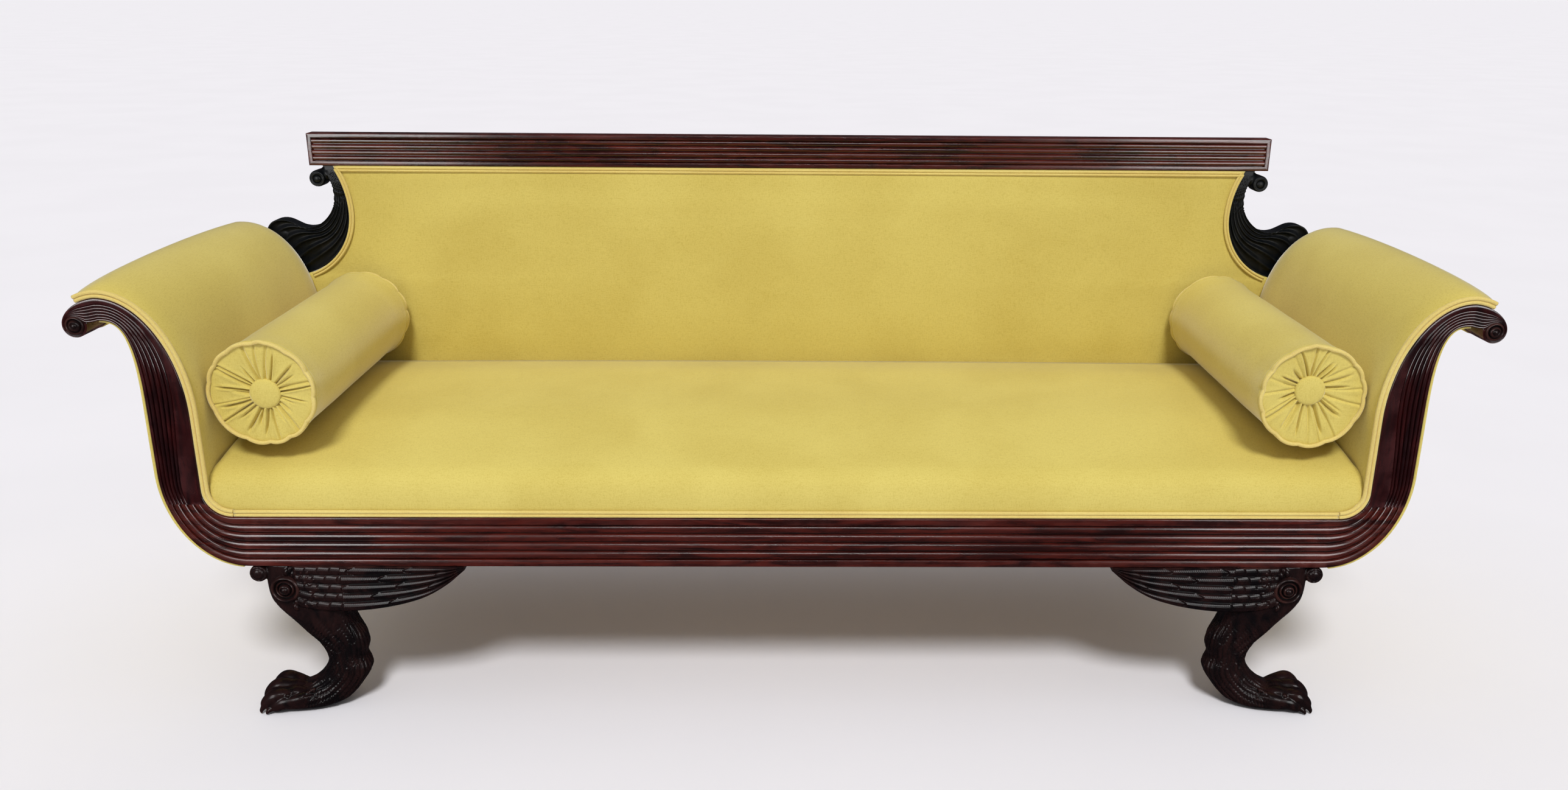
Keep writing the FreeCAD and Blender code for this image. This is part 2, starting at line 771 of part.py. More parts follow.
FLUTE_HEIGHTS = (0.66, 0.28)
FLUTE_TURNS = (0, 25, 45, 64, 80)
FLUTE_HOLLOW_TURNS = (150, 178, 205, 235, 265)
FLUTE_LEAF_TURNS = (152, 100)
flute_inset = size("flute_inset")
flute_inside = [curve_at_height(waist[1] + share * (crest_low - waist[1])) for share in FLUTE_HEIGHTS]
flute_inside += [curve_below(turn) for turn in FLUTE_TURNS]
flute_outside = [about(hollow, hollow_round + flute_inset, turn) for turn in FLUTE_HOLLOW_TURNS]
flute_outside += [about(leaf, leaf_round - flute_inset, turn) for turn in FLUTE_LEAF_TURNS]
flute_rings = []
for a, b in zip(flute_inside, flute_outside):
    edge = between(a, b, flute_inset / hypot(b[0] - a[0], b[1] - a[1]))
    flute_rings.append(
        ridged_section(
            edge,
            b,
            bracket_front - size("flute_proud"),
            bracket_front + flute_inset,
            count("flute_count"),
            size("flute_depth"),
            size("ridge_crest"),
        )
    )
bracket_board = flat_face(bracket_outline(bracket_front)).extrude(Vector(0, size("bracket_thick"), 0))
pair(shaped("right_crest_bracket", bracket_board.fuse(faceted(flute_rings)).removeSplitter()))
shaped(
    "bracket_eyes",
    both_sides(turned(size("bracket_eye_round"), size("bracket_eye_proud"), volute, bracket_front)),
)

# Front legs: a lion's leg that drops from the rail, draws in at the ankle and turns out.
# Places across are steps outward from the end of the front seat rail.
Station = namedtuple("Station", "outer inner middle half_thick rounding")
leg_front = size("leg_front")
leg_half = size("leg_thick") / 2
leg_middle = leg_front + leg_half
paw_middle = size("paw_middle")
paw_half = size("paw_half_width")
ankle_half = size("ankle_half_thick")
rail_end = size("rail_half_length")
LEG_STATIONS = [
    Station((size("leg_top_outer_step"), low), (-141, low), leg_middle, leg_half, 0.2),
    Station((-21, 228), (-141, 212), leg_middle, leg_half, 0.25),
    Station((-31, 195), (-139, 178), leg_middle - 1, leg_half - 1, 0.35),
    Station((-53, 168), (-141, 150), leg_middle - 2, ankle_half + 3, 0.5),
    Station((-74, 143), (-153, 126), leg_middle - 3, ankle_half + 1, 0.65),
    Station((-88, 117), (-159, 104), leg_middle - 3, ankle_half, 0.75),
    Station((-95, 92), (-159, 80), leg_middle - 3, ankle_half, 0.8),
    Station((-94, 76), (-167, 58), leg_middle - 4, ankle_half + 1, 0.85),
    Station((-84, 58), (-157, 36), leg_middle - 5, ankle_half + 2, 0.85),
    Station((-68, 44), (-135, 13), leg_middle - 8, paw_half, 0.8),
    Station((-50, 38), (-97, -3), paw_middle + 8, paw_half, 0.8),
    Station((-33, 36), (-53, -4), paw_middle + 2, paw_half, 0.8),
    Station((-17, 32), (-19, -4), paw_middle, paw_half - 3, 0.8),
    Station((-5, 16), (-3, -2), paw_middle, paw_half - 8, 0.7),
]
CORNER_FACETS = 2


def limb_ring(station):
    """Rounded section of the leg from its outer edge to its inner edge."""
    outer, inner = ((rail_end + step, z) for step, z in (station.outer, station.inner))
    width = hypot(outer[0] - inner[0], outer[1] - inner[1])
    radius = station.rounding * min(width / 2, station.half_thick)
    front = station.middle - station.half_thick
    back = station.middle + station.half_thick
    centres = [(width - radius, front + radius), (width - radius, back - radius)]
    centres += [(radius, back - radius), (radius, front + radius)]
    ring = []
    for quarter, centre in enumerate(centres):
        for turn in spread(90 * quarter - 90, 90 * quarter, CORNER_FACETS):
            run, depth = about(centre, radius, turn)
            ring.append(to_space(between(outer, inner, run / width), depth))
    return ring


# Each toe is a run of round sections from its root over the knuckle to the claw
Section = namedtuple("Section", "step z radius")
toe_round = size("toe_round")
TOE_SECTIONS = [
    Section(-48, 26, 0.6 * toe_round),
    Section(-34, 33, 0.9 * toe_round),
    Section(-16, 35, toe_round),
    Section(-3, 25, 0.95 * toe_round),
    Section(3, 9, 0.65 * toe_round),
]
TOE_FACETS = 10


def toe(y):
    """One toe, whose sections stand square to its run."""
    rings = []
    for i, section in enumerate(TOE_SECTIONS):
        before = TOE_SECTIONS[max(i - 1, 0)]
        after = TOE_SECTIONS[min(i + 1, len(TOE_SECTIONS) - 1)]
        run = Vector(after.step - before.step, 0, after.z - before.z).normalize()
        across = run.cross(Vector(0, 1, 0))
        middle = Vector(rail_end + section.step, y, section.z)
        ring = []
        for turn in spread(0, FULL_TURN, TOE_FACETS)[:-1]:
            side, rise = about((0, 0), section.radius, turn)
            ring.append(middle + Vector(0, side, 0) + across * rise)
        rings.append(ring)
    return faceted(rings)


# The wing runs from the knee along the rail and tapers to its tip, in rows of feathers
knee_edge = [(-79, 190), (-105, 184), (-135, 183), (size("wing_root_step"), 183)]
wing_edge = [knee_edge[-1], (-205, 188), (-245, 197), (-280, 210), (-313, 231), (size("wing_tip_step"), 254)]


def feathered(edge, back):
    """Rows of feathers between the rail and an edge below it."""
    front = leg_front - size("wing_proud")
    feathers = count("feather_count")
    depth = size("feather_depth")
    crest = size("ridge_crest")
    run = [(rail_end + step, z) for step, z in edge]
    return faceted([ridged_section((x, low), (x, z), front, back, feathers, depth, crest) for x, z in run])


leg = faceted([limb_ring(station) for station in LEG_STATIONS])
toe_spread = 2 * (paw_half - toe_round)
toe_first = paw_middle - paw_half + toe_round
for i in range(count("toe_count")):
    leg = leg.fuse(toe(toe_first + toe_spread * i / (count("toe_count") - 1)))
ball_round = size("ball_round")
ball_place = Vector(across("ball_step"), leg_front, low - ball_round)
ball = Part.makeCylinder(ball_round, size("ball_length"), ball_place, Vector(0, 1, 0))
leg = leg.fuse([ball, feathered(knee_edge, leg_front + size("wing_proud"))])
ground_place = Vector(0, -size("overall_depth") / 2, -low)
ground = Part.makeBox(across("arm_outer_step"), size("overall_depth"), low, ground_place)
pair(shaped("right_front_leg", leg.cut(ground).removeSplitter()))
pair(shaped("right_leg_wing", feathered(wing_edge, size("wing_thick"))))
rosette = (across("rosette_step"), size("rosette_z"))
shaped("leg_rosettes", both_sides(turned(size("rosette_round"), size("rosette_proud"), rosette, leg_front)))

# Rear legs: squared legs, tapered both ways, that rake back under the posts
RAKE = ((1.0, 0.0), (0.66, 0.12), (0.33, 0.45), (0.0, 1.0))
rear_top = FRAME_DEPTH - size("rear_leg_setback")
rear_foot = FRAME_DEPTH + size("rear_leg_splay")
rear_edge = [(rear_top + (rear_foot - rear_top) * share, low * height) for height, share in RAKE]


def leg_side(height):
    """Width of the rear leg at a height."""
    return size("rear_leg_foot") + (size("rear_leg_top") - size("rear_leg_foot")) * height / low


side_view = rear_edge + [(y - leg_side(z), z) for y, z in reversed(rear_edge)]
rear_x = across("rear_leg_step")
side_points = [Vector(rear_x - leg_side(low), y, z) for y, z in side_view + side_view[:1]]
rear_plank = Part.Face(Part.makePolygon(side_points)).extrude(Vector(2 * leg_side(low), 0, 0))
front_view = [(rear_x - leg_side(low) / 2, low), (rear_x + leg_side(low) / 2, low)]
front_view += [(rear_x + leg_side(0) / 2, 0), (rear_x - leg_side(0) / 2, 0)]
front_points = [Vector(x, 0, z) for x, z in front_view + front_view[:1]]
rear_taper = Part.Face(Part.makePolygon(front_points)).extrude(Vector(0, size("overall_depth"), 0))
pair(shaped("right_rear_leg", rear_plank.common(rear_taper)))

# Stretchers across the seat, stiles in the back and blocks glued in the frame's corners
stretcher_width = size("stretcher_width")
stretcher_height = size("stretcher_height")
frame_top = size("frame_top")
stretchers = []
for i in range(count("stretcher_count")):
    x = (i - (count("stretcher_count") - 1) / 2) * size("stretcher_spacing") - stretcher_width / 2
    corner = Vector(x, rail_thick, frame_top - stretcher_height)
    stretchers.append(Part.makeBox(stretcher_width, back_front - rail_thick, stretcher_height, corner))
shaped("seat_stretchers", Part.makeCompound(stretchers))

stile_low = size("back_pad_bottom") + size("back_rail_height")
stile_width = size("back_stile_width")
stile_height = crest_low - size("back_rail_height") - stile_low
stile_corner = Vector((size("back_stile_spacing") - stile_width) / 2, back_front, stile_low)
shaped(
    "back_stiles", both_sides(Part.makeBox(stile_width, size("back_frame_thick"), stile_height, stile_corner))
)

block_leg = size("corner_block_leg")
block_low = size("side_rail_bottom")
side_inner = across("side_rail_step")


def corner_block(y, into):
    """A three-cornered block between a side rail and the rail that it meets."""
    corners = [(side_inner, y), (side_inner - block_leg, y), (side_inner, y + into * block_leg)]
    outline = Part.makePolygon([Vector(x, depth, block_low) for x, depth in corners + corners[:1]])
    return Part.Face(outline).extrude(Vector(0, 0, size("corner_block_height")))


blocks = [corner_block(rail_thick, 1), corner_block(back_front, -1)]
shaped("corner_blocks", both_sides(Part.makeCompound(blocks)))

# Webbing in two layers, the long straps over the cross straps, and the sacking on them
web_width = size("web_width")
web_thick = size("web_thick")
web_margin = size("web_margin")
cloth = size("cloth_thick")
seat_span = 2 * side_outer
bay_front = rail_thick + CLEAR
bay_depth = back_front - rail_thick - 2 * CLEAR


def strap_starts(total, span):
    """Places of straps spread evenly over a span about the middle."""
    pitch = span / total
    return [-span / 2 + (i + 0.5) * pitch - web_width / 2 for i in range(total)]


straps = [
    Part.makeBox(web_width, bay_depth, web_thick, Vector(x, bay_front, frame_top))
    for x in strap_starts(count("cross_web_count"), seat_span - 2 * web_margin)
]
long_low = frame_top + web_thick + CLEAR
middle_depth = bay_front + bay_depth / 2
straps += [
    Part.makeBox(seat_span, web_width, web_thick, Vector(-side_outer, middle_depth + y, long_low))
    for y in strap_starts(count("long_web_count"), bay_depth - web_margin)
]
shaped("seat_webbing", Part.makeCompound(straps))
sacking_low = long_low + web_thick + CLEAR
sacking_place = Vector(-side_outer, bay_front, sacking_low)
shaped("seat_sacking", Part.makeBox(seat_span, bay_depth, size("rail_top") - sacking_low, sacking_place))

web_low = size("back_pad_bottom") + CLEAR
web_high = crest_low - CLEAR
web_face = back_front - web_thick - CLEAR
uprights = [
    Part.makeBox(web_width, web_thick, web_high - web_low, Vector(x, web_face, web_low))
    for x in strap_starts(count("back_web_count"), 2 * across("post_inner_step"))
]
shaped("back_webbing", Part.makeCompound(uprights))
back_cloth_half = waist[0] - size("cloth_inset")
back_cloth_place = Vector(-back_cloth_half, web_face - CLEAR - cloth, web_low)
shaped("back_sacking", Part.makeBox(2 * back_cloth_half, cloth, web_high - web_low, back_cloth_place))
dust_place = Vector(CLEAR - side_inner, bay_front, low)
shaped("dust_cover", Part.makeBox(2 * (side_inner - CLEAR), bay_depth, cloth, dust_place))
outside_place = Vector(-back_cloth_half, FRAME_DEPTH + CLEAR, frame_top)
shaped("outside_back_panel", Part.makeBox(2 * back_cloth_half, cloth, web_high - frame_top, outside_place))

# Tight seat: its sides are drawn in against the arms and its front lip rolls over
seat_half = across("arm_inner_step") - size("pad_low_thick") - CLEAR
EDGE_FALL = 6.0
LIP_FULLNESS = 8.0


def seat_top(x):
    """Height of the seat's crown at a distance from the middle."""
    return CROWN_Z - size("seat_crown_fall") * (x / seat_half) ** 2


def seat_section(x, drawn):
    """Section of the seat from front to back; drawn is how far its edge is pulled in."""
    floor = meeting(inner_run, abs(x))[1] + CLEAR
    front = size("seat_front") + drawn
    top = seat_top(x) - drawn
    lip = LIP_Z
    shoulder_z = SHOULDER_Z - drawn
    shoulder_y = size("seat_shoulder_depth") + drawn
    rear = ahead("seat_rear_ahead") - drawn / 2
    roll = (front + (shoulder_y - front) / 4, (lip + shoulder_z) / 2 + LIP_FULLNESS)
    profile = [(rear, floor), (front, floor), (front, lip)]
    points = [Vector(x, y, z) for y, z in profile]
    shoulder = Vector(x, shoulder_y, shoulder_z)
    back_edge = Vector(x, rear, top - EDGE_FALL)
    edges = [Part.LineSegment(a, b) for a, b in zip(points, points[1:])]
    edges.append(Part.Arc(points[-1], Vector(x, *roll), shoulder))
    edges.append(Part.Arc(shoulder, Vector(x, (shoulder_y + rear) / 2, top), back_edge))
    edges.append(Part.LineSegment(back_edge, points[0]))
    return Part.Wire([edge.toShape() for edge in edges])


# Stations as a share of the half length and how far the edge is drawn in there
SEAT_STATIONS = ((1.0, 9.0), (0.985, 4.0), (0.955, 1.0), (0.6, 0.0), (0.0, 0.0))
seat_rows = [(-share * seat_half, drawn) for share, drawn in SEAT_STATIONS]
seat_rows += [(-x, drawn) for x, drawn in reversed(seat_rows[:-1])]
seat_solid = loft([seat_section(x, drawn) for x, drawn in seat_rows])
shaped("seat_pad", seat_solid)

# Tight back: a padded panel to the curve of the brackets with a crown in front
welt_width = size("welt_width")
welt_depth = size("welt_depth")
pad_front = ahead("back_pad_ahead")
pad_back = web_face - 2 * CLEAR - cloth
pad_low = size("back_pad_bottom")
pad_edge = across("arm_inner_step") - size("cloth_inset")
panel_corners = [
    curve_below(90, CLEAR),
    (pad_edge, curve_below(90)[1] - size("rear_board_thick")),
    (pad_edge, pad_low),
    (0, pad_low),
    (0, crest_low - CLEAR),
    curve_at_height(crest_low - CLEAR, CLEAR),
]
half_outline = inner_curve(pad_front, 90, CLEAR) + polyline(panel_corners, pad_front)
half_panel = flat_face(half_outline).extrude(Vector(0, pad_back - pad_front, 0))

# Stations as a share of the crown's half length and of its swell
CROWN_STATIONS = ((1.0, 0.3), (0.9, 0.8), (0.55, 1.0), (0.0, 1.0))
CROWN_FACETS = 6
crown_half = waist[0] - 1.5 * welt_width
crown_low = pad_low + 1.2 * welt_width
crown_high = crest_low - 1.2 * welt_width


def crown_ring(x, swell):
    """The swell of the back at a distance from the middle, an arc in flat facets."""
    ring = [Vector(x, pad_back, crown_high), Vector(x, pad_back, crown_low)]
    for share in spread(-1, 1, CROWN_FACETS):
        rise = swell * size("back_crown") * (1 - share**2)
        height = (crown_low + crown_high) / 2 + share * (crown_high - crown_low) / 2
        ring.append(Vector(x, pad_front - rise, height))
    return ring


crown_rows = [(-share * crown_half, swell) for share, swell in CROWN_STATIONS]
crown_rows += [(-x, swell) for x, swell in reversed(crown_rows[:-1])]
crown = faceted([crown_ring(x, swell) for x, swell in crown_rows])
other_half = half_panel.mirror(Vector(0, 0, 0), Vector(1, 0, 0))
shaped("back_pad", half_panel.fuse([other_half, crown]).removeSplitter())

# Arm pads lie along the inside of the arm and roll over its scroll
pad_gap = size("pad_gap")
ROLL_STEPS = 8
ROLL_END = 35.0
arm_path = inner_run[len(corner_pairs) - 1 :]
roll_path = [scroll(turn) for turn in spread(SCROLL_START, ROLL_END, ROLL_STEPS)][1:]
pad_path = arm_path + roll_path
low_thick = size("pad_low_thick") - pad_gap
top_thick = size("pad_top_thick")
end_thick = size("pad_end_thick")
beside_seat = len(arm_path) - SWEEP_STEPS
pad_thick = [x - across("arm_inner_step") + low_thick for x, z in arm_path[:beside_seat]]
pad_thick += spread(low_thick, top_thick, SWEEP_STEPS)[1:]
pad_thick += spread(top_thick, end_thick, ROLL_STEPS)[1:]
roll_sagitta = hypot(across("sweep_top_step") - eye[0], SWEEP_TOP_Z - eye[1]) * (
    1 - cos(radians((SCROLL_START - ROLL_END) / ROLL_STEPS / 2))
)
base_gap = [pad_gap] * len(arm_path) + [pad_gap + roll_sagitta] * len(roll_path)
pad_base = offset(pad_path, base_gap)
pad_crest = offset(pad_path, [a + b for a, b in zip(base_gap, pad_thick)])


def arm_pad_section(base, crest, thick):
    """Section of the arm pad: thin at the facing, full a hand's breadth behind it."""
    front = size("seat_front")
    rear = ahead("pad_rear_ahead")
    full = front + size("pad_full_depth")
    edge = min(size("pad_front_thick") / thick, 0.95)

    def at(share, y):
        return to_space(between(base, crest, share), y)

    swell = [at(edge, front), at((edge + 3) / 4, front + (full - front) / 3), at(0.98, full)]
    body = [swell[-1], at(0.92, (full + rear) / 2), at(0.65, rear)]
    edges = [Part.LineSegment(at(0, rear), at(0, front)), Part.LineSegment(at(0, front), swell[0])]
    edges += [Part.Arc(*swell), Part.Arc(*body), Part.LineSegment(body[-1], at(0, rear))]
    return Part.Wire([edge.toShape() for edge in edges])


arm_pad = loft([arm_pad_section(*row) for row in zip(pad_base, pad_crest, pad_thick)])
pair(shaped("right_arm_pad", arm_pad))


# Double welts: two cords side by side along each edge of the cloth
def welt_along(path, front, gaps=None):
    """A double welt beside a path, on its left, at a gap from each of its points."""
    near = gaps or [pad_gap] * len(path)
    far = [gap + welt_width for gap in near]
    rings = [
        ridged_section(a, b, front, front + welt_depth - CLEAR, 2, welt_depth / 2, size("ridge_crest"))
        for a, b in zip(offset(path, near), offset(path, far))
    ]
    return faceted(rings)


corner_start = inner_run[1]
welt_start = (corner_start[0] - welt_width / 4, corner_start[1])
WELT_STEPS = 3
welt_path = [welt_start] + inner_run[1:] + roll_path[:WELT_STEPS]
welt_gaps = [pad_gap] * len(inner_run) + base_gap[-WELT_STEPS:]
pair(shaped("right_arm_welt", welt_along(welt_path, CLEAR, welt_gaps)))
rail_run = welt_start[0] - CLEAR
shaped("seat_welt", welt_along([(-rail_run, size("rail_top")), (rail_run, size("rail_top"))], CLEAR))
welt_front = pad_front - welt_depth
ARM_TURN = 66
CURVE_STEPS = 5
RISE_STEPS = 4
curve_path = [curve_below(turn) for turn in spread(ARM_TURN, 0, CURVE_STEPS)]
curve_path += [curve_at_height(height) for height in spread(waist[1], crest_low - pad_gap, RISE_STEPS)[1:]]
crest_run = neck[0] - 1.4 * welt_width
crest_welt = welt_along([(crest_run, crest_low), (-crest_run, crest_low)], welt_front)
shaped("back_welt", Part.makeCompound([crest_welt, both_sides(welt_along(curve_path, welt_front))]))

# Cloth down the outside of the arm, from under the scroll to the foot of the corner
cloth_start = across("ball_step") + ball_round + welt_depth / 2
outside_path = [meeting(outer_run, cloth_start)] + [point for point in outer_run if point[0] > cloth_start]
outside_near = offset(outside_path, -pad_gap)
outside_far = offset(outside_path, -pad_gap - size("outside_thick"))
outside_rings = [
    plain_section(a, b, welt_depth / 2, ahead("pad_rear_ahead")) for a, b in zip(outside_near, outside_far)
]
pair(shaped("right_outside_arm_panel", faceted(outside_rings)))

# Bolsters: a swelling tube with gathered ends, piped edges and covered buttons
bolster_round = size("bolster_round")
bolster_x = seat_half - CLEAR - bolster_round
bolster_front = size("bolster_front")
bolster_rear = ahead("bolster_rear_ahead")
rest_slab = Part.makeBox(
    bolster_round / 4, size("overall_depth"), size("crest_top"), Vector(bolster_x - bolster_round / 8, 0, 0)
)
seat_rest = seat_solid.common(rest_slab).optimalBoundingBox(False, False).ZMax
bolster_z = seat_rest + CLEAR + bolster_round
end_round = bolster_round - size("bolster_swell")
button_round = size("button_round")
piping_round = size("piping_round")
piping_ring = end_round - piping_round / 2
rebate_round = piping_ring - piping_round - CLEAR
pleat_rise = size("pleat_rise")
FOLD_LIFT = {"rim": (1.0, 0.4), "button": (1.5, 0.2)}
BUTTON_PROFILE = [(0.0, 0.0), (0.92, 0.0), (1.0, 0.35), (0.85, 0.7), (0.45, 0.95), (0.0, 1.0)]
PIPING_FACETS = 6


def pleated_end(plane, outward):
    """Gathered cloth of one end: radial pleats between the piping and the button."""
    total = 2 * count("pleat_count")

    def ring(radius, lifts):
        places = [about((0, 0), radius, FULL_TURN * k / total) for k in range(total)]
        return [Vector(x, plane + outward * pleat_rise * lifts[k % 2], z) for k, (x, z) in enumerate(places)]

    rim = rebate_round - CLEAR
    rings = [ring(rim, (-1, -1)), ring(rim, FOLD_LIFT["rim"]), ring(0.9 * button_round, FOLD_LIFT["button"])]
    rings.append(ring(0.5 * button_round, (1, 1)))
    return faceted(rings)


ease = 2 * piping_round + CLEAR
half_tube = [(0, 0), (rebate_round, 0), (rebate_round, ease), (end_round, ease)]
half_tube.append((bolster_round, (bolster_rear - bolster_front) / 4))
tube_outline = [(radius, bolster_front + y) for radius, y in half_tube]
tube_outline += [(radius, bolster_rear - y) for radius, y in reversed(half_tube)]
tube = revolved(tube_outline).fuse([pleated_end(bolster_front, -1), pleated_end(bolster_rear, 1)])
cord_turns = spread(0, FULL_TURN, PIPING_FACETS)[:-1]
cord_outline = [about((piping_ring, 0), piping_round, turn) for turn in cord_turns]
button_start = max(FOLD_LIFT["button"]) * pleat_rise + CLEAR
cords = []
buttons = []
for plane, outward in ((bolster_front, -1), (bolster_rear, 1)):
    cords.append(revolved([(radius, plane - outward * piping_round + y) for radius, y in cord_outline]))
    profile = [
        (share * button_round, plane + outward * (button_start + rise * size("button_rise")))
        for share, rise in BUTTON_PROFILE
    ]
    buttons.append(revolved(profile))
tube = tube.removeSplitter()
tube.translate(Vector(bolster_x, 0, bolster_z))
arm_gap = tube.distToShape(arm_pad)[0]
tube.translate(Vector(-bolster_x, 0, -bolster_z))
bolster_x += arm_gap - CLEAR
for label, solid in (
    ("right_bolster", tube),
    ("right_bolster_piping", Part.makeCompound(cords)),
    ("right_bolster_buttons", Part.makeCompound(buttons)),
):
    solid.translate(Vector(bolster_x, 0, bolster_z))
    pair(shaped(label, solid))


def check_and_write():
    """Stop at anything that failed to build, then write one file for each piece."""
    doc.recompute()
    for obj in doc.Objects:
        if "Invalid" in obj.State or "Error" in obj.State:
            raise RuntimeError(f"{obj.Label} did not build: {obj.State}")
    os.makedirs("parts", exist_ok=True)
    for node in NODES:
        shape = node.Shape
        if shape.isNull() or not shape.isValid() or not shape.Solids:
            raise RuntimeError(f"{node.Label} has no valid solid")
        shape.exportStep(f"parts/{node.Label}.step")
    print(f"{len(NODES)} pieces")


check_and_write()
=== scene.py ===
"""Looks of the scroll arm sofa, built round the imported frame.

Every piece is drawn in millimetres, with X to the right, Y back from the face of the front
seat rail and Z up from the floor, and is moved into the frame in metres when it is made.
"""
import logging
import math
from dataclasses import dataclass, field
from enum import Enum
from typing import Iterable, Sequence

import bmesh
import bpy
import numpy as np
from mathutils import Matrix, Vector
from mathutils.kdtree import KDTree


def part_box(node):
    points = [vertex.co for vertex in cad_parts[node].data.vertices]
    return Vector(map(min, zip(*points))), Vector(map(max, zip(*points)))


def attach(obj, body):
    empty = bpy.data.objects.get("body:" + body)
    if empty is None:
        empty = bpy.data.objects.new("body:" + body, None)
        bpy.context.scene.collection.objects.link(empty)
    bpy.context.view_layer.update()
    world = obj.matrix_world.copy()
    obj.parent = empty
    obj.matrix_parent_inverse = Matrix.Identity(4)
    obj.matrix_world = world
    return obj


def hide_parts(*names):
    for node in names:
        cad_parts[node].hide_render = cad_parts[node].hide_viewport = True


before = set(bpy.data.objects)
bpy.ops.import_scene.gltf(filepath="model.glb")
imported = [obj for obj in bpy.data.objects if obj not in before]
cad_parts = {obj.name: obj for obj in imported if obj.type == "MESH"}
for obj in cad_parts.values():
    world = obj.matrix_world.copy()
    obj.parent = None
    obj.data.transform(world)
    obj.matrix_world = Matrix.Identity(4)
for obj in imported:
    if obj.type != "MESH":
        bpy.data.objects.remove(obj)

LOG = logging.getLogger("scroll_arm_sofa")
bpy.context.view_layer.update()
MM = 0.001
FACE_Y = -312.5

Array = np.ndarray


class Body(Enum):
    """Bodies of the frame that a piece can ride on."""

    FRAME = "frame"
    LEFT_BOLSTER = "left_bolster"
    RIGHT_BOLSTER = "right_bolster"


class Side(Enum):
    """Which end of the sofa a piece belongs to, with its sign along X."""

    RIGHT = 1
    LEFT = -1

    @property
    def word(self) -> str:
        """The side's name as it starts a node's name."""
        return self.name.lower()


# Shapes


@dataclass
class Shape:
    """Points in millimetres and the faces between them."""

    points: Array
    faces: list

    def mirrored(self) -> "Shape":
        """The left-hand twin of a right-hand shape."""
        return Shape(self.points * (-1.0, 1.0, 1.0), [tuple(reversed(face)) for face in self.faces])

    def on(self, side: Side) -> "Shape":
        """The shape for one side."""
        return self if side is Side.RIGHT else self.mirrored()

    def doubled(self) -> "Shape":
        """A right-hand shape with its left-hand twin."""
        return joined([self, self.mirrored()])


def around(centre: Sequence[float], radius: float | Array, angle: float | Array) -> Array:
    """Points (x, z) of the drawing about a centre, at angles in radians."""
    return np.stack([centre[0] + radius * np.cos(angle), centre[1] + radius * np.sin(angle)], -1)


def joined(shapes: Iterable[Shape]) -> Shape:
    """Several shapes as one.

    Args:
        shapes: the shapes, whose points stay separate.

    Returns:
        One shape with all their points and faces.
    """
    points, faces, start = [], [], 0
    for shape in shapes:
        points.append(shape.points)
        faces += [tuple(i + start for i in face) for face in shape.faces]
        start += len(shape.points)
    return Shape(np.concatenate(points), faces)


def grid(points: Array, wrap: bool = False, loop: bool = False, capped: bool = False) -> Shape:
    """A surface through rows of points.

    Args:
        points: array of rows, columns and (x, y, z).
        wrap: join the last column to the first.
        loop: join the last row to the first.
        capped: close the first and the last row with a face each.

    Returns:
        The surface.
    """
    rows, columns = points.shape[:2]
    row, column = np.meshgrid(
        np.arange(rows if loop else rows - 1), np.arange(columns if wrap else columns - 1), indexing="ij"
    )
    row_after, column_after = (row + 1) % rows, (column + 1) % columns
    corners = [row * columns + column, row * columns + column_after]
    corners += [row_after * columns + column_after, row_after * columns + column]
    faces = [tuple(face) for face in np.stack(corners, -1).reshape(-1, 4).tolist()]
    if capped:
        faces.append(tuple(range(columns))[::-1])
        faces.append(tuple(range((rows - 1) * columns, rows * columns)))
    return Shape(points.reshape(-1, 3).astype(float), faces)


def smooth_path(points: Sequence, count: int, closed: bool = False) -> Array:
    """A smooth run through a few points, spaced evenly along its length.

    Args:
        points: the points that it passes through.
        count: how many points come back.
        closed: whether it returns to its start.

    Returns:
        The evenly spaced points.
    """
    known = np.asarray(points, float)
    if closed:
        padded = np.concatenate([known[-1:], known, known[:2]])
    else:
        padded = np.concatenate([2 * known[:1] - known[1:2], known, 2 * known[-1:] - known[-2:-1]])
    share = np.linspace(0, 1, 16, endpoint=False)[:, None]
    pieces = []
    for before, start, end, after in zip(padded, padded[1:], padded[2:], padded[3:]):
        bend = (2 * before - 5 * start + 4 * end - after) * share**2
        twist = (3 * start - before - 3 * end + after) * share**3
        pieces.append(0.5 * (2 * start + (end - before) * share + bend + twist))
    fine = np.concatenate([*pieces, known[:1] if closed else known[-1:]])
    return evenly(fine, count + 1)[:-1] if closed else evenly(fine, count)


def evenly(points: Array, count: int) -> Array:
    """The same run with its points spaced evenly.

    Args:
        points: the run.
        count: how many points come back.

    Returns:
        The evenly spaced points.
    """
    steps = np.linalg.norm(np.diff(points, axis=0), axis=1)
    along = np.concatenate([[0.0], np.cumsum(steps)])
    wanted = np.linspace(0, along[-1], count)
    return np.stack([np.interp(wanted, along, points[:, i]) for i in range(points.shape[1])], -1)


def offset(path: Array, distance: float | Array) -> Array:
    """A run of the drawing moved square to itself, to the left of its direction.

    Args:
        path: points (x, z).
        distance: how far, one number or one for each point.

    Returns:
        The moved points.
    """
    along = np.gradient(path, axis=0)
    along /= np.linalg.norm(along, axis=1)[:, None]
    return path + np.stack([-along[:, 1], along[:, 0]], -1) * np.reshape(distance, (-1, 1))


def in_space(drawing: Array, depth: float | Array) -> Array:
    """Points of the (x, z) drawing at a depth.

    Args:
        drawing: points (x, z).
        depth: their y.

    Returns:
        Points (x, y, z).
    """
    depths = np.broadcast_to(depth, drawing.shape[:-1])
    return np.stack([drawing[..., 0], depths, drawing[..., 1]], -1)


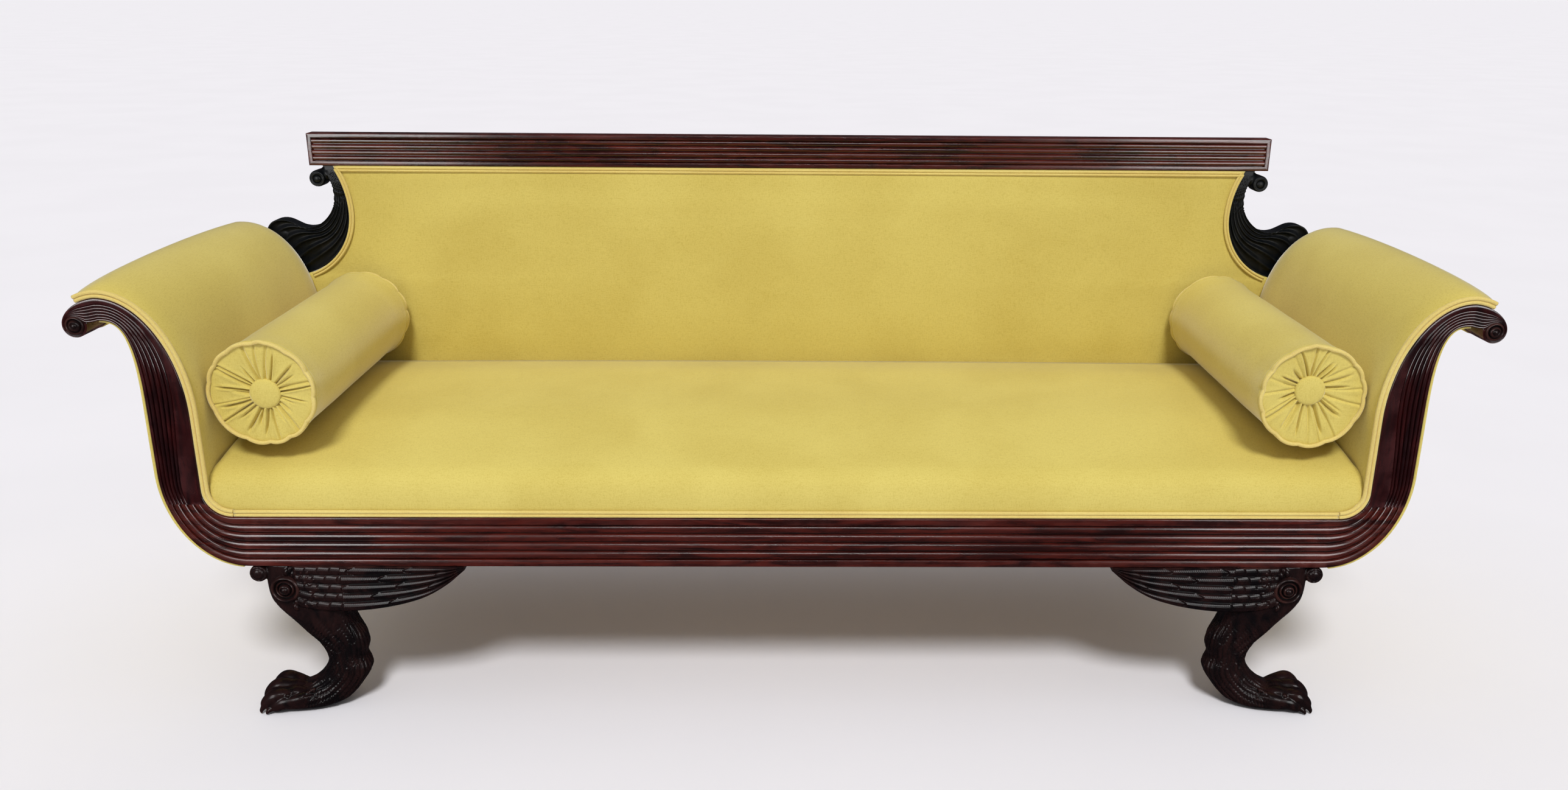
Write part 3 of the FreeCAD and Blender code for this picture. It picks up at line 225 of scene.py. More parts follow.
def band(inner: Array, outer: Array, shares: Array, depths: Array, back: float) -> Shape:
    """A board between two matching runs, with one moulded face.

    Args:
        inner: points (x, z) along the band's upper or inner edge.
        outer: the matching points of the other edge.
        shares: places across the face, from 0 at the inner edge to 1, one row or a row for each point.
        depths: depth of the face at each place, one row or a row for each point.
        back: depth of the board's back.

    Returns:
        The closed board.
    """
    places = np.broadcast_to(shares, (len(inner), np.shape(shares)[-1]))
    across = inner[:, None] + (outer - inner)[:, None] * places[..., None]
    face = in_space(across, np.broadcast_to(depths, across.shape[:2]))
    rear = np.stack([in_space(outer, back), in_space(inner, back)], 1)
    return grid(np.concatenate([face, rear], 1), wrap=True, capped=True)


def lathe(profile: Sequence, centre: tuple[float, float], segments: int = 48) -> Shape:
    """A turned form about an axis along Y.

    Args:
        profile: points (radius, y) from the rim to the middle.
        centre: the axis as (x, z).
        segments: how many steps round.

    Returns:
        The turned form.
    """
    turn = np.linspace(0, 2 * math.pi, segments, endpoint=False)
    rim = np.asarray(profile, float)
    radius, depth = rim[:, :1], rim[:, 1:]
    return grid(in_space(around(centre, radius, turn), depth), wrap=True, capped=True)


def tube(path: Array, radius: float | Array, sides: int, loop: bool = False) -> Shape:
    """A round cord along a run that never goes straight back.

    Args:
        path: points (x, y, z).
        radius: one number, or one for each point.
        sides: points round the cord.
        loop: whether it closes on itself.

    Returns:
        The cord.
    """
    if loop:
        along = np.roll(path, -1, 0) - np.roll(path, 1, 0)
    else:
        along = np.gradient(path, axis=0)
    along /= np.linalg.norm(along, axis=1)[:, None]
    side = np.cross(along, (0.0, 1.0, 0.0))
    side /= np.linalg.norm(side, axis=1)[:, None]
    top = np.cross(side, along)
    turn = np.linspace(0, 2 * math.pi, sides, endpoint=False)[None, :, None]
    size = np.reshape(radius, (-1, 1, 1))
    rings = path[:, None] + size * (np.cos(turn) * side[:, None] + np.sin(turn) * top[:, None])
    return grid(rings, wrap=True, loop=loop, capped=not loop)


def ellipsoid(centre: tuple, radii: tuple, tilt: float, steps: int) -> Shape:
    """A rounded swelling, tilted about Y.

    Args:
        centre: its middle.
        radii: half sizes along its own x, y and z.
        tilt: degrees that its x end is turned up.
        steps: rings and points round.

    Returns:
        The swelling.
    """
    polar = np.linspace(0.02, math.pi - 0.02, steps)[:, None]
    turn = np.linspace(0, 2 * math.pi, steps, endpoint=False)[None, :]
    ring = np.sin(polar)
    local = np.stack([np.cos(polar) + 0 * turn, ring * np.cos(turn), ring * np.sin(turn)], -1) * radii
    angle = math.radians(tilt)
    x = local[..., 0] * math.cos(angle) - local[..., 2] * math.sin(angle)
    z = local[..., 0] * math.sin(angle) + local[..., 2] * math.cos(angle)
    return grid(np.stack([x, local[..., 1], z], -1) + centre, wrap=True, capped=True)


def waves(points: Array, length: float, height: float, seed: int) -> Array:
    """Slow unevenness of hand work, the same on every run.

    Args:
        points: where it is wanted.
        length: about how long one swell is.
        height: how far it rises and falls.
        seed: picks one pattern.

    Returns:
        One height for each point.
    """
    random = np.random.default_rng(seed)
    total = np.zeros(points.shape[:-1])
    for _ in range(5):
        direction = random.normal(size=3)
        direction /= np.linalg.norm(direction)
        rate = 2 * math.pi / (length * random.uniform(0.7, 1.5))
        total += np.sin(points @ direction * rate + random.uniform(0, 6.28))
    return total * height / 5


def ease(share: Array) -> Array:
    """A smooth step from 0 to 1."""
    held = np.clip(share, 0, 1)
    return held * held * (3 - 2 * held)


# Pieces


def placed(name: str, data: bpy.types.ID) -> bpy.types.Object:
    """A new object of the scene.

    Args:
        name: its name.
        data: its mesh, lamp or camera.

    Returns:
        The object.
    """
    made = bpy.data.objects.new(name, data)
    bpy.context.scene.collection.objects.link(made)
    return made


def new_object(name: str, metres: Array, faces: list) -> bpy.types.Object:
    """A new object with a mesh of its own.

    Args:
        name: name of the object and its mesh.
        metres: its points in the frame.
        faces: the faces between them.

    Returns:
        The object.
    """
    mesh = bpy.data.meshes.new(name)
    mesh.from_pydata(metres.tolist(), [], faces)
    return placed(name, mesh)


@dataclass(frozen=True)
class Piece:
    """What a finished piece is called, what it is made of and what it stands for."""

    name: str
    material: bpy.types.Material
    slot: str
    stands_for: tuple[str, ...] = ()
    body: Body = Body.FRAME
    sharp: float = 50.0

    def make(self, shape: Shape) -> bpy.types.Object:
        """Turn a shape into a piece that rides on its body.

        Args:
            shape: points in millimetres from the rail's face.

        Returns:
            The new object.
        """
        metres = (shape.points + (0.0, FACE_Y, 0.0)) * MM
        made = new_object(self.name, metres, shape.faces)
        mesh = made.data
        work = bmesh.new()
        work.from_mesh(mesh)
        bmesh.ops.recalc_face_normals(work, faces=work.faces)
        work.to_mesh(mesh)
        work.free()
        self.dress(made)
        return made

    def dress(self, made: bpy.types.Object) -> None:
        """Give an object its shading, material and body, and hide the nodes that it stands for.

        Args:
            made: the object to dress.
        """
        mesh = made.data
        mesh.materials.clear()
        mesh.materials.append(self.material)
        mesh.polygons.foreach_set("use_smooth", [True] * len(mesh.polygons))
        if self.sharp < 180:
            mesh.set_sharp_from_angle(angle=math.radians(self.sharp))
        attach(made, self.body.value)
        if self.stands_for:
            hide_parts(*self.stands_for)


def remeshed(made: bpy.types.Object, voxel: float, smoothing: int) -> None:
    """Melt the overlapping forms of an object into one even skin.

    Args:
        made: the object, changed in place.
        voxel: size of the new mesh in millimetres.
        smoothing: how many times its steps are smoothed.
    """
    skin = made.modifiers.new("skin", "REMESH")
    skin.mode = "VOXEL"
    skin.voxel_size = voxel * MM
    if smoothing:
        soften = made.modifiers.new("soften", "SMOOTH")
        soften.factor = 0.5
        soften.iterations = smoothing
    apply_modifiers(made)


def apply_modifiers(made: bpy.types.Object) -> None:
    """Keep an object's mesh as its modifiers leave it.

    Args:
        made: the object, changed in place.
    """
    bpy.context.view_layer.update()
    seen = made.evaluated_get(bpy.context.evaluated_depsgraph_get())
    mesh = bpy.data.meshes.new_from_object(seen)
    before = made.data
    made.modifiers.clear()
    made.data = mesh
    bpy.data.meshes.remove(before)


def mesh_points(mesh: bpy.types.Mesh) -> tuple[Array, Array]:
    """Points and normals of a mesh, in millimetres from the rail's face.

    Args:
        mesh: the mesh.

    Returns:
        Its points and its normals.
    """
    flat, facing = np.empty(len(mesh.vertices) * 3), np.empty(len(mesh.vertices) * 3)
    mesh.vertices.foreach_get("co", flat)
    mesh.vertices.foreach_get("normal", facing)
    return flat.reshape(-1, 3) / MM - (0.0, FACE_Y, 0.0), facing.reshape(-1, 3)


def move_points(mesh: bpy.types.Mesh, points: Array) -> None:
    """Put a mesh's points at new places.

    Args:
        mesh: the mesh.
        points: millimetres from the rail's face.
    """
    metres = (points + (0.0, FACE_Y, 0.0)) * MM
    mesh.vertices.foreach_set("co", metres.reshape(-1))
    mesh.update()


# Finishes

Socket = bpy.types.NodeSocket
Value = float | tuple | Socket
Colour = tuple[int, int, int]
SOCKET_TYPES = {"colour": "NodeSocketColor", "number": "NodeSocketFloat", "vector": "NodeSocketVector"}
BLACK, WHITE = ("colour", (0, 0, 0, 1)), ("colour", (1, 1, 1, 1))


def colour(red: int, green: int, blue: int) -> tuple[float, float, float, float]:
    """A screen colour as the linear values that a shader takes.

    Args:
        red: its red, from 0 to 255.
        green: its green.
        blue: its blue.

    Returns:
        Red, green and blue from 0 to 1, and a full alpha.
    """
    channels = []
    for value in (red, green, blue):
        share = value / 255
        channels.append(share / 12.92 if share <= 0.04045 else ((share + 0.055) / 1.055) ** 2.4)
    return (*channels, 1.0)


@dataclass
class Graph:
    """A shader tree with short ways to add and join its nodes."""

    tree: bpy.types.NodeTree

    def fill(self, sockets: bpy.types.bpy_prop_collection, values: dict[str | int, Value]) -> None:
        """Link or set some inputs of a node.

        Args:
            sockets: the node's inputs.
            values: a socket to link or a value to set, by the input's name or number.
        """
        for key, value in values.items():
            if isinstance(value, Socket):
                self.tree.links.new(value, sockets[key])
            else:
                sockets[key].default_value = value

    def add(self, kind: str, inputs: dict | None = None, **settings) -> bpy.types.Node:
        """Add one node.

        Args:
            kind: type of the node, without its ShaderNode prefix.
            inputs: values or sockets for its inputs, by name or number.
            settings: other properties of the node.

        Returns:
            The new node.
        """
        node = self.tree.nodes.new(f"ShaderNode{kind}")
        for name, value in settings.items():
            setattr(node, name, value)
        self.fill(node.inputs, inputs or {})
        return node

    def math(self, operation: str, *values: Value) -> Socket:
        """The result of one sum on values or sockets."""
        return self.add("Math", dict(enumerate(values)), operation=operation).outputs[0]

    def ranged(self, value: Value, low: float, high: float, ends: tuple = (0.0, 1.0)) -> Socket:
        """A value's run from low to high, moved smoothly onto two ends."""
        inputs = {"Value": value, "From Min": low, "From Max": high, "To Min": ends[0], "To Max": ends[1]}
        return self.add("MapRange", inputs, interpolation_type="SMOOTHSTEP").outputs[0]

    def blended(self, share: Value, first: Value, second: Value) -> Socket:
        """A colour between two others."""
        return self.add("Mix", {0: share, 6: first, 7: second}, data_type="RGBA").outputs[2]

    def noise(self, place: Value, scale: Value, detail: float, distortion: float = 0.0) -> Socket:
        """Cloudy noise at a place."""
        inputs = {"Vector": place, "Scale": scale, "Detail": detail, "Distortion": distortion}
        return self.add("TexNoise", inputs).outputs[0]

    def stretched(self, scale: Value) -> Socket:
        """Places on the object, stretched along its axes."""
        return self.add("Mapping", {"Vector": self.place(), "Scale": scale}).outputs[0]

    def place(self) -> Socket:
        """Places on the object."""
        return self.add("TexCoord").outputs["Object"]

    def bump(self, height: Socket, strength: float, distance: float) -> Socket:
        """The normal of a surface with a fine relief."""
        return self.add("Bump", {"Height": height, "Strength": strength, "Distance": distance}).outputs[0]


@dataclass(frozen=True)
class Effect:
    """A shader group that several materials share."""

    name: str
    inputs: dict[str, tuple]
    outputs: dict[str, str]

    def start(self) -> tuple[Graph, dict, bpy.types.bpy_prop_collection]:
        """Make the empty group.

        Returns:
            The group's graph, its input sockets by name and the inputs of its output node.
        """
        tree = bpy.data.node_groups.new(self.name, "ShaderNodeTree")
        for label, (kind, default) in self.inputs.items():
            socket = tree.interface.new_socket(label, in_out="INPUT", socket_type=SOCKET_TYPES[kind])
            socket.default_value = default
        for label, kind in self.outputs.items():
            tree.interface.new_socket(label, in_out="OUTPUT", socket_type=SOCKET_TYPES[kind])
        given = tree.nodes.new("NodeGroupInput").outputs
        leaving = tree.nodes.new("NodeGroupOutput").inputs
        return Graph(tree), {socket.name: socket for socket in given if socket.name}, leaving


@dataclass
class SharedEffects:
    """Shader groups that the finishes are put together from."""

    figure: bpy.types.NodeTree = field(init=False)
    rubbing: bpy.types.NodeTree = field(init=False)
    weave: bpy.types.NodeTree = field(init=False)
    tone: bpy.types.NodeTree = field(init=False)

    def __post_init__(self) -> None:
        """Build each group once."""
        for label in ("figure", "rubbing", "weave", "tone"):
            setattr(self, label, getattr(self, f"build_{label}")())

    def build_figure(self) -> bpy.types.NodeTree:
        """Grain of a hard wood: streaks along the board and fine open pores.

        Returns:
            The group.
        """
        inputs = {"Dark": BLACK, "Light": WHITE, "Stretch": ("vector", (1, 1, 1))}
        outputs = {"Colour": "colour", "Height": "number", "Gloss": "number"}
        graph, given, leaving = Effect("wood_figure", inputs, outputs).start()
        run = graph.stretched(given["Stretch"])
        streaks = graph.noise(run, 26.0, 6.0, 1.4)
        broad = graph.noise(run, 7.0, 3.0, 0.6)
        mixed = graph.math("ADD", graph.math("MULTIPLY", streaks, 0.6), graph.math("MULTIPLY", broad, 0.4))
        tinted = graph.blended(graph.ranged(mixed, 0.36, 0.64), given["Dark"], given["Light"])
        pores = graph.ranged(graph.noise(run, 210.0, 2.0), 0.56, 0.7)
        values = {
            "Colour": graph.blended(graph.math("MULTIPLY", pores, 0.35), tinted, given["Dark"]),
            "Height": graph.math("SUBTRACT", streaks, pores),
            "Gloss": graph.ranged(broad, 0.3, 0.7),
        }
        graph.fill(leaving, values)
        return graph.tree

    def build_rubbing(self) -> bpy.types.NodeTree:
        """Where hands have rubbed edges bright, and a darker colour in the hollows.

        Returns:
            The group.
        """
        inputs = {"Colour": BLACK, "Rubbed": WHITE, "Recessed": BLACK}
        graph, given, leaving = Effect("rubbing", inputs, {"Colour": "colour", "Hollows": "number"}).start()
        point = graph.add("NewGeometry").outputs["Pointiness"]
        patches = graph.ranged(graph.noise(graph.place(), 34.0, 5.0), 0.35, 0.65)
        edges = graph.math("MULTIPLY", graph.ranged(point, 0.515, 0.58), patches)
        # a darker colour in the hollows, by how sunken the surface is
        hollows = graph.ranged(point, 0.49, 0.44)
        rubbed = graph.blended(graph.math("MULTIPLY", edges, 0.6), given["Colour"], given["Rubbed"])
        recessed = graph.blended(graph.math("MULTIPLY", hollows, 0.8), rubbed, given["Recessed"])
        graph.fill(leaving, {"Colour": recessed, "Hollows": hollows})
        return graph.tree

    def build_weave(self) -> bpy.types.NodeTree:
        """Threads of a plain weave, crossing whichever way the cloth faces.

        Returns:
            The group.
        """
        inputs = {"Threads": ("number", 900.0), "Slubs": ("number", 1.0)}
        graph, given, leaving = Effect("plain_weave", inputs, {"Height": "number", "Gaps": "number"}).start()
        ways = ((0.12, 1.0, 1.0), (1.0, 0.12, 1.0), (1.0, 1.0, 0.12))
        threads = [graph.noise(graph.stretched(way), given["Threads"], 1.0) for way in ways]
        total = graph.math("ADD", graph.math("ADD", threads[0], threads[1]), threads[2])
        lumps = graph.ranged(graph.noise(graph.stretched((1.0, 6.0, 6.0)), 60.0, 2.0), 0.55, 0.75)
        slubs = graph.math("MULTIPLY", lumps, given["Slubs"])
        height = graph.math("ADD", graph.math("DIVIDE", total, 3.0), slubs)
        graph.fill(leaving, {"Height": height, "Gaps": graph.ranged(total, 1.5, 1.2)})
        return graph.tree

    def build_tone(self) -> bpy.types.NodeTree:
        """Uneven dye and handling of a cloth, in broad clouds and fine specks, with painted shade in the gaps
        between its threads.

        Returns:
            The group.
        """
        inputs = {"Base": WHITE, "Shade": BLACK, "Gaps": ("number", 0.0)}
        graph, given, leaving = Effect("cloth_tone", inputs, {"Colour": "colour"}).start()
        place = graph.place()
        clouds = graph.ranged(graph.noise(place, 5.0, 4.0, 0.3), 0.35, 0.7)
        specks = graph.ranged(graph.noise(place, 420.0, 3.0), 0.4, 0.75)
        share = graph.math("ADD", graph.math("MULTIPLY", clouds, 0.3), graph.math("MULTIPLY", specks, 0.25))
        # painted shade: the gaps between the threads are drawn towards the darker colour
        share = graph.math("ADD", share, graph.math("MULTIPLY", given["Gaps"], 0.3))
        graph.fill(leaving, {"Colour": graph.blended(share, given["Base"], given["Shade"])})
        return graph.tree


def new_material(name: str) -> tuple[bpy.types.Material, Graph, bpy.types.bpy_prop_collection]:
    """Start a material.

    Args:
        name: its name.

    Returns:
        The material, its graph and the inputs of its shader.
    """
    material = bpy.data.materials.new(name)
    material.use_nodes = True
    graph = Graph(material.node_tree)
    return material, graph, graph.tree.nodes["Principled BSDF"].inputs


@dataclass(frozen=True)
class WoodFinish:
    """A polished or waxed wood, its colours in screen values."""

    name: str
    dark: Colour
    light: Colour
    rubbed: Colour
    # colour given to the hollows
    recessed: Colour
    stretch: tuple[float, float, float] = (0.35, 1.6, 3.0)
    roughness: tuple[float, float] = (0.2, 0.28)
    coat: float = 0.25
    specular: float = 0.4
    coat_roughness: float = 0.1
    grain_depth: float = 0.0001

    def build(self, effects: SharedEffects) -> bpy.types.Material:
        """Make the material.

        Args:
            effects: the shared shader groups.

        Returns:
            The finished material.
        """
        material, graph, shader = new_material(self.name)
        inputs = {"Dark": colour(*self.dark), "Light": colour(*self.light), "Stretch": self.stretch}
        figure = graph.add("Group", inputs, node_tree=effects.figure).outputs
        inputs = {"Rubbed": colour(*self.rubbed), "Recessed": colour(*self.recessed)}
        inputs["Colour"] = figure["Colour"]
        rubbing = graph.add("Group", inputs, node_tree=effects.rubbing).outputs
        gloss = graph.ranged(figure["Gloss"], 0.0, 1.0, self.roughness)
        values = {
            "Base Color": rubbing["Colour"],
            "Roughness": graph.math("MULTIPLY_ADD", rubbing["Hollows"], 0.3, gloss),
            "Coat Weight": graph.ranged(rubbing["Hollows"], 0.0, 1.0, (self.coat, 0.0)),
            "Coat Roughness": self.coat_roughness,
            "Specular IOR Level": self.specular,
            "Normal": graph.bump(figure["Height"], 0.5, self.grain_depth),
        }
        graph.fill(shader, values)
        return material


@dataclass(frozen=True)
class ClothFinish:
    """A woven upholstery cloth or a coarse ground cloth, its colours in screen values."""

    name: str
    base: Colour
    shade: Colour
    threads: float = 900.0
    depth: float = 0.0004
    slubs: float = 0.6
    roughness: tuple[float, float] = (0.78, 0.92)
    sheen: float = 0.8
    sheen_roughness: float = 0.32
    specular: float = 0.2

    def build(self, effects: SharedEffects) -> bpy.types.Material:
        """Make the material.

        Args:
            effects: the shared shader groups.

        Returns:
            The finished material.
        """
        material, graph, shader = new_material(self.name)
        inputs = {"Threads": self.threads, "Slubs": self.slubs}
        weave = graph.add("Group", inputs, node_tree=effects.weave).outputs
        inputs = {"Base": colour(*self.base), "Shade": colour(*self.shade), "Gaps": weave["Gaps"]}
        tone = graph.add("Group", inputs, node_tree=effects.tone).outputs
        values = {
            "Base Color": tone["Colour"],
            "Roughness": graph.ranged(weave["Gaps"], 0.0, 1.0, self.roughness),
            "Sheen Weight": self.sheen,
            "Sheen Roughness": self.sheen_roughness,
            "Specular IOR Level": self.specular,
            "Normal": graph.bump(weave["Height"], 0.4, self.depth),
        }
        graph.fill(shader, values)
        return material


@dataclass(frozen=True)
class MetalFinish:
    """Small steel tacks, dulled by age."""

    name: str
    bright: Colour
    dull: Colour

    def build(self, effects: SharedEffects) -> bpy.types.Material:
        """Make the material.

        Args:
            effects: the shared shader groups, of which it needs none.

        Returns:
            The finished material.
        """
        material, graph, shader = new_material(self.name)
        share = graph.ranged(graph.noise(graph.place(), 300.0, 4.0), 0.4, 0.6)
        values = {
            "Base Color": graph.blended(share, colour(*self.bright), colour(*self.dull)),
            "Roughness": graph.ranged(share, 0.0, 1.0, (0.35, 0.6)),
            "Metallic": 1.0,
        }
        graph.fill(shader, values)
        return material


UPRIGHT_GRAIN = (1.2, 1.6, 0.6)
SPECIFICATIONS = {
    "polished": WoodFinish("polished_mahogany", (34, 8, 7), (84, 25, 16), (104, 52, 46), (9, 1, 1)),
    "upright": WoodFinish(
        "polished_mahogany_upright", (24, 5, 7), (54, 13, 13), (104, 60, 60), (9, 1, 1),
        (2.4, 1.6, 0.3), (0.13, 0.19),
    ),
    "brackets": WoodFinish(
        "darkened_mahogany", (9, 12, 15), (24, 25, 28), (74, 76, 80), (2, 2, 3),
        UPRIGHT_GRAIN, (0.3, 0.42), 0.0, 0.15,
    ),
    "carved": WoodFinish(
        "carved_mahogany", (12, 9, 11), (38, 20, 19), (84, 50, 44), (3, 3, 4),
        UPRIGHT_GRAIN, (0.22, 0.32), 0.1, 0.13,
    ),
    "stained": WoodFinish(
        "stained_mahogany", (40, 16, 13), (82, 38, 28), (110, 62, 48), (18, 9, 8),
        (3.0, 1.6, 0.4), (0.4, 0.55), 0.1,
    ),
    "timber": WoodFinish(
        "frame_timber", (150, 108, 66), (190, 150, 102), (205, 170, 125), (95, 68, 42),
        roughness=(0.6, 0.75), coat=0.0,
    ),
    "cloth": ClothFinish("gold_cloth", (223, 205, 112), (197, 174, 80)),
    "cord": ClothFinish("gold_cord", (232, 212, 128), (210, 178, 96), threads=1200.0),
    "webbing": ClothFinish("webbing", (188, 170, 132), (120, 96, 64), threads=560.0),
    "sacking": ClothFinish("sacking", (170, 148, 112), (116, 94, 64), threads=640.0, depth=0.0007),
    "tacks": MetalFinish("tacks", (150, 146, 140), (88, 80, 70)),
}


@dataclass
class Finishes:
    """Every material of the sofa, built once."""

    polished: bpy.types.Material = field(init=False)
    carved: bpy.types.Material = field(init=False)
    upright: bpy.types.Material = field(init=False)
    brackets: bpy.types.Material = field(init=False)
    timber: bpy.types.Material = field(init=False)
    stained: bpy.types.Material = field(init=False)
    cloth: bpy.types.Material = field(init=False)
    cord: bpy.types.Material = field(init=False)
    webbing: bpy.types.Material = field(init=False)
    sacking: bpy.types.Material = field(init=False)
    tacks: bpy.types.Material = field(init=False)

    def __post_init__(self) -> None:
        """Build each material."""
        effects = SharedEffects()
        for label, specification in SPECIFICATIONS.items():
            setattr(self, label, specification.build(effects))


# Woodwork


@dataclass(frozen=True)
class ArmCurves:
    """Drawing of the right-hand scroll arm seen from the front, as points (x, z)."""

    rail_end: float = 865.0
    rail_top: float = 347.0
    rail_low: float = 262.0
    inner_x: float = 927.0
    outer_x: float = 990.0
    corner_round: float = 45.0
    corner_height: float = 158.0
    joint: float = 369.0
    sweep_low: float = 515.0
    top: tuple[float, float] = (1042.0, 702.0)
    under: tuple[float, float] = (1040.0, 668.0)
    fullness: float = 3.0
    eye: tuple[float, float] = (1076.5, 660.0)
    eye_round: float = 18.5
    tightening: float = 5.8

    def corner_inner(self, turn: Array) -> Array:
        """Inside of the rail's corner.

        Args:
            turn: degrees from level to upright.

        Returns:
            Its points.
        """
        angle = np.radians(turn)
        start = self.inner_x - self.corner_round
        x = start + self.corner_round * np.sin(angle)
        return np.stack([x, self.rail_top + self.corner_round * (1 - np.cos(angle))], -1)

    def corner_outer(self, turn: Array) -> Array:
        """Outside of the rail's corner.

        Args:
            turn: degrees from level to upright.

        Returns:
            Its points.
        """
        angle = np.radians(turn)
        x = self.rail_end + (self.outer_x - self.rail_end) * np.sin(angle)
        return np.stack([x, self.rail_low + self.corner_height * (1 - np.cos(angle))], -1)

    def joint_turns(self) -> tuple[float, float]:
        """Where the rail's corner ends.

        Returns:
            Turns of its inside and its outside.
        """
        inner = math.degrees(math.acos(1 - (self.joint - self.rail_top) / self.corner_round))
        outer = math.degrees(math.acos(1 - (self.joint - self.rail_low) / self.corner_height))
        return inner, outer

    def corner(self) -> tuple[Array, Array]:
        """The corner piece, from the rail to its joint.

        Returns:
            Matching points of its inner and its outer edge.
        """
        inner_end, outer_end = self.joint_turns()
        start = np.array([[self.rail_end, self.rail_top]])
        inner = evenly(np.concatenate([start, self.corner_inner(np.linspace(0, inner_end, 24))]), 28)
        return inner, self.corner_outer(np.linspace(0, outer_end, 28))

    def upright(self) -> tuple[Array, Array]:
        """The arm from the joint to the top of its sweep.

        Returns:
            Matching points of its inner and its outer edge.
        """
        inner_end, outer_end = self.joint_turns()
        inner = [self.corner_inner(np.linspace(inner_end, 90, 8))]
        outer = [self.corner_outer(np.linspace(outer_end, 90, 8))]
        rise = np.linspace(0, 1, 8)[1:, None]
        for run, x in ((inner, self.inner_x), (outer, self.outer_x)):
            low = run[-1][-1]
            run.append(low + ((x, self.sweep_low) - low) * rise)
        turn = np.radians(90 * np.linspace(0, 1, 36)[1:] ** 1.25)
        across, up = np.clip(np.cos(turn), 0, 1), np.sin(turn)
        sides = ((inner, self.inner_x, self.top, 1), (outer, self.outer_x, self.under, 2 / self.fullness))
        for run, x, end, power in sides:
            width, height = end[0] - x, end[1] - self.sweep_low
            run.append(np.stack([end[0] - width * across**power, self.sweep_low + height * up**power], -1))
        return np.concatenate(inner), np.concatenate(outer)

    def scroll_start(self) -> float:
        """Angle about the eye at which the sweep becomes the scroll."""
        return math.degrees(math.atan2(self.top[1] - self.eye[1], self.top[0] - self.eye[0]))

    def scroll(self, turn: Array) -> Array:
        """The curl round the eye.

        Args:
            turn: angles about the eye in degrees.

        Returns:
            Its points.
        """
        start = math.dist(self.top, self.eye)
        share = np.clip((turn + 90) / (self.scroll_start() + 90), 0, 1)
        radius = self.eye_round + (start - self.eye_round) * share**self.tightening
        return around(self.eye, radius, np.radians(turn))

    def curl(self) -> tuple[Array, Array]:
        """The band as it curls in to the eye.

        Returns:
            Matching points of its inner and its outer edge.
        """
        start = self.scroll_start()
        turn = np.linspace(start, -190, 72)
        done = np.clip((start - turn) / 130, 0, 1)
        near = math.dist(self.under, self.eye)
        first = math.degrees(math.atan2(self.under[1] - self.eye[1], self.under[0] - self.eye[0])) % 360
        lead = np.interp(done, [0, 0.06, 0.13, 0.22, 0.5, 1], [first, first + 1, 166, 148, 93, start - 130])
        angle = np.radians(np.where(done < 1, lead, turn))
        radius = np.interp(done, [0, 0.06, 0.13, 0.2, 0.3, 1], [near, 27.5, 18.2, 15.2, 14.2, 14.0])
        return self.scroll(turn), around(self.eye, radius, angle)

    def inside_run(self) -> Array:
        """The band's inner edge from the rail's end to the top of the sweep."""
        return np.concatenate([self.corner()[0], self.upright()[0][1:]])


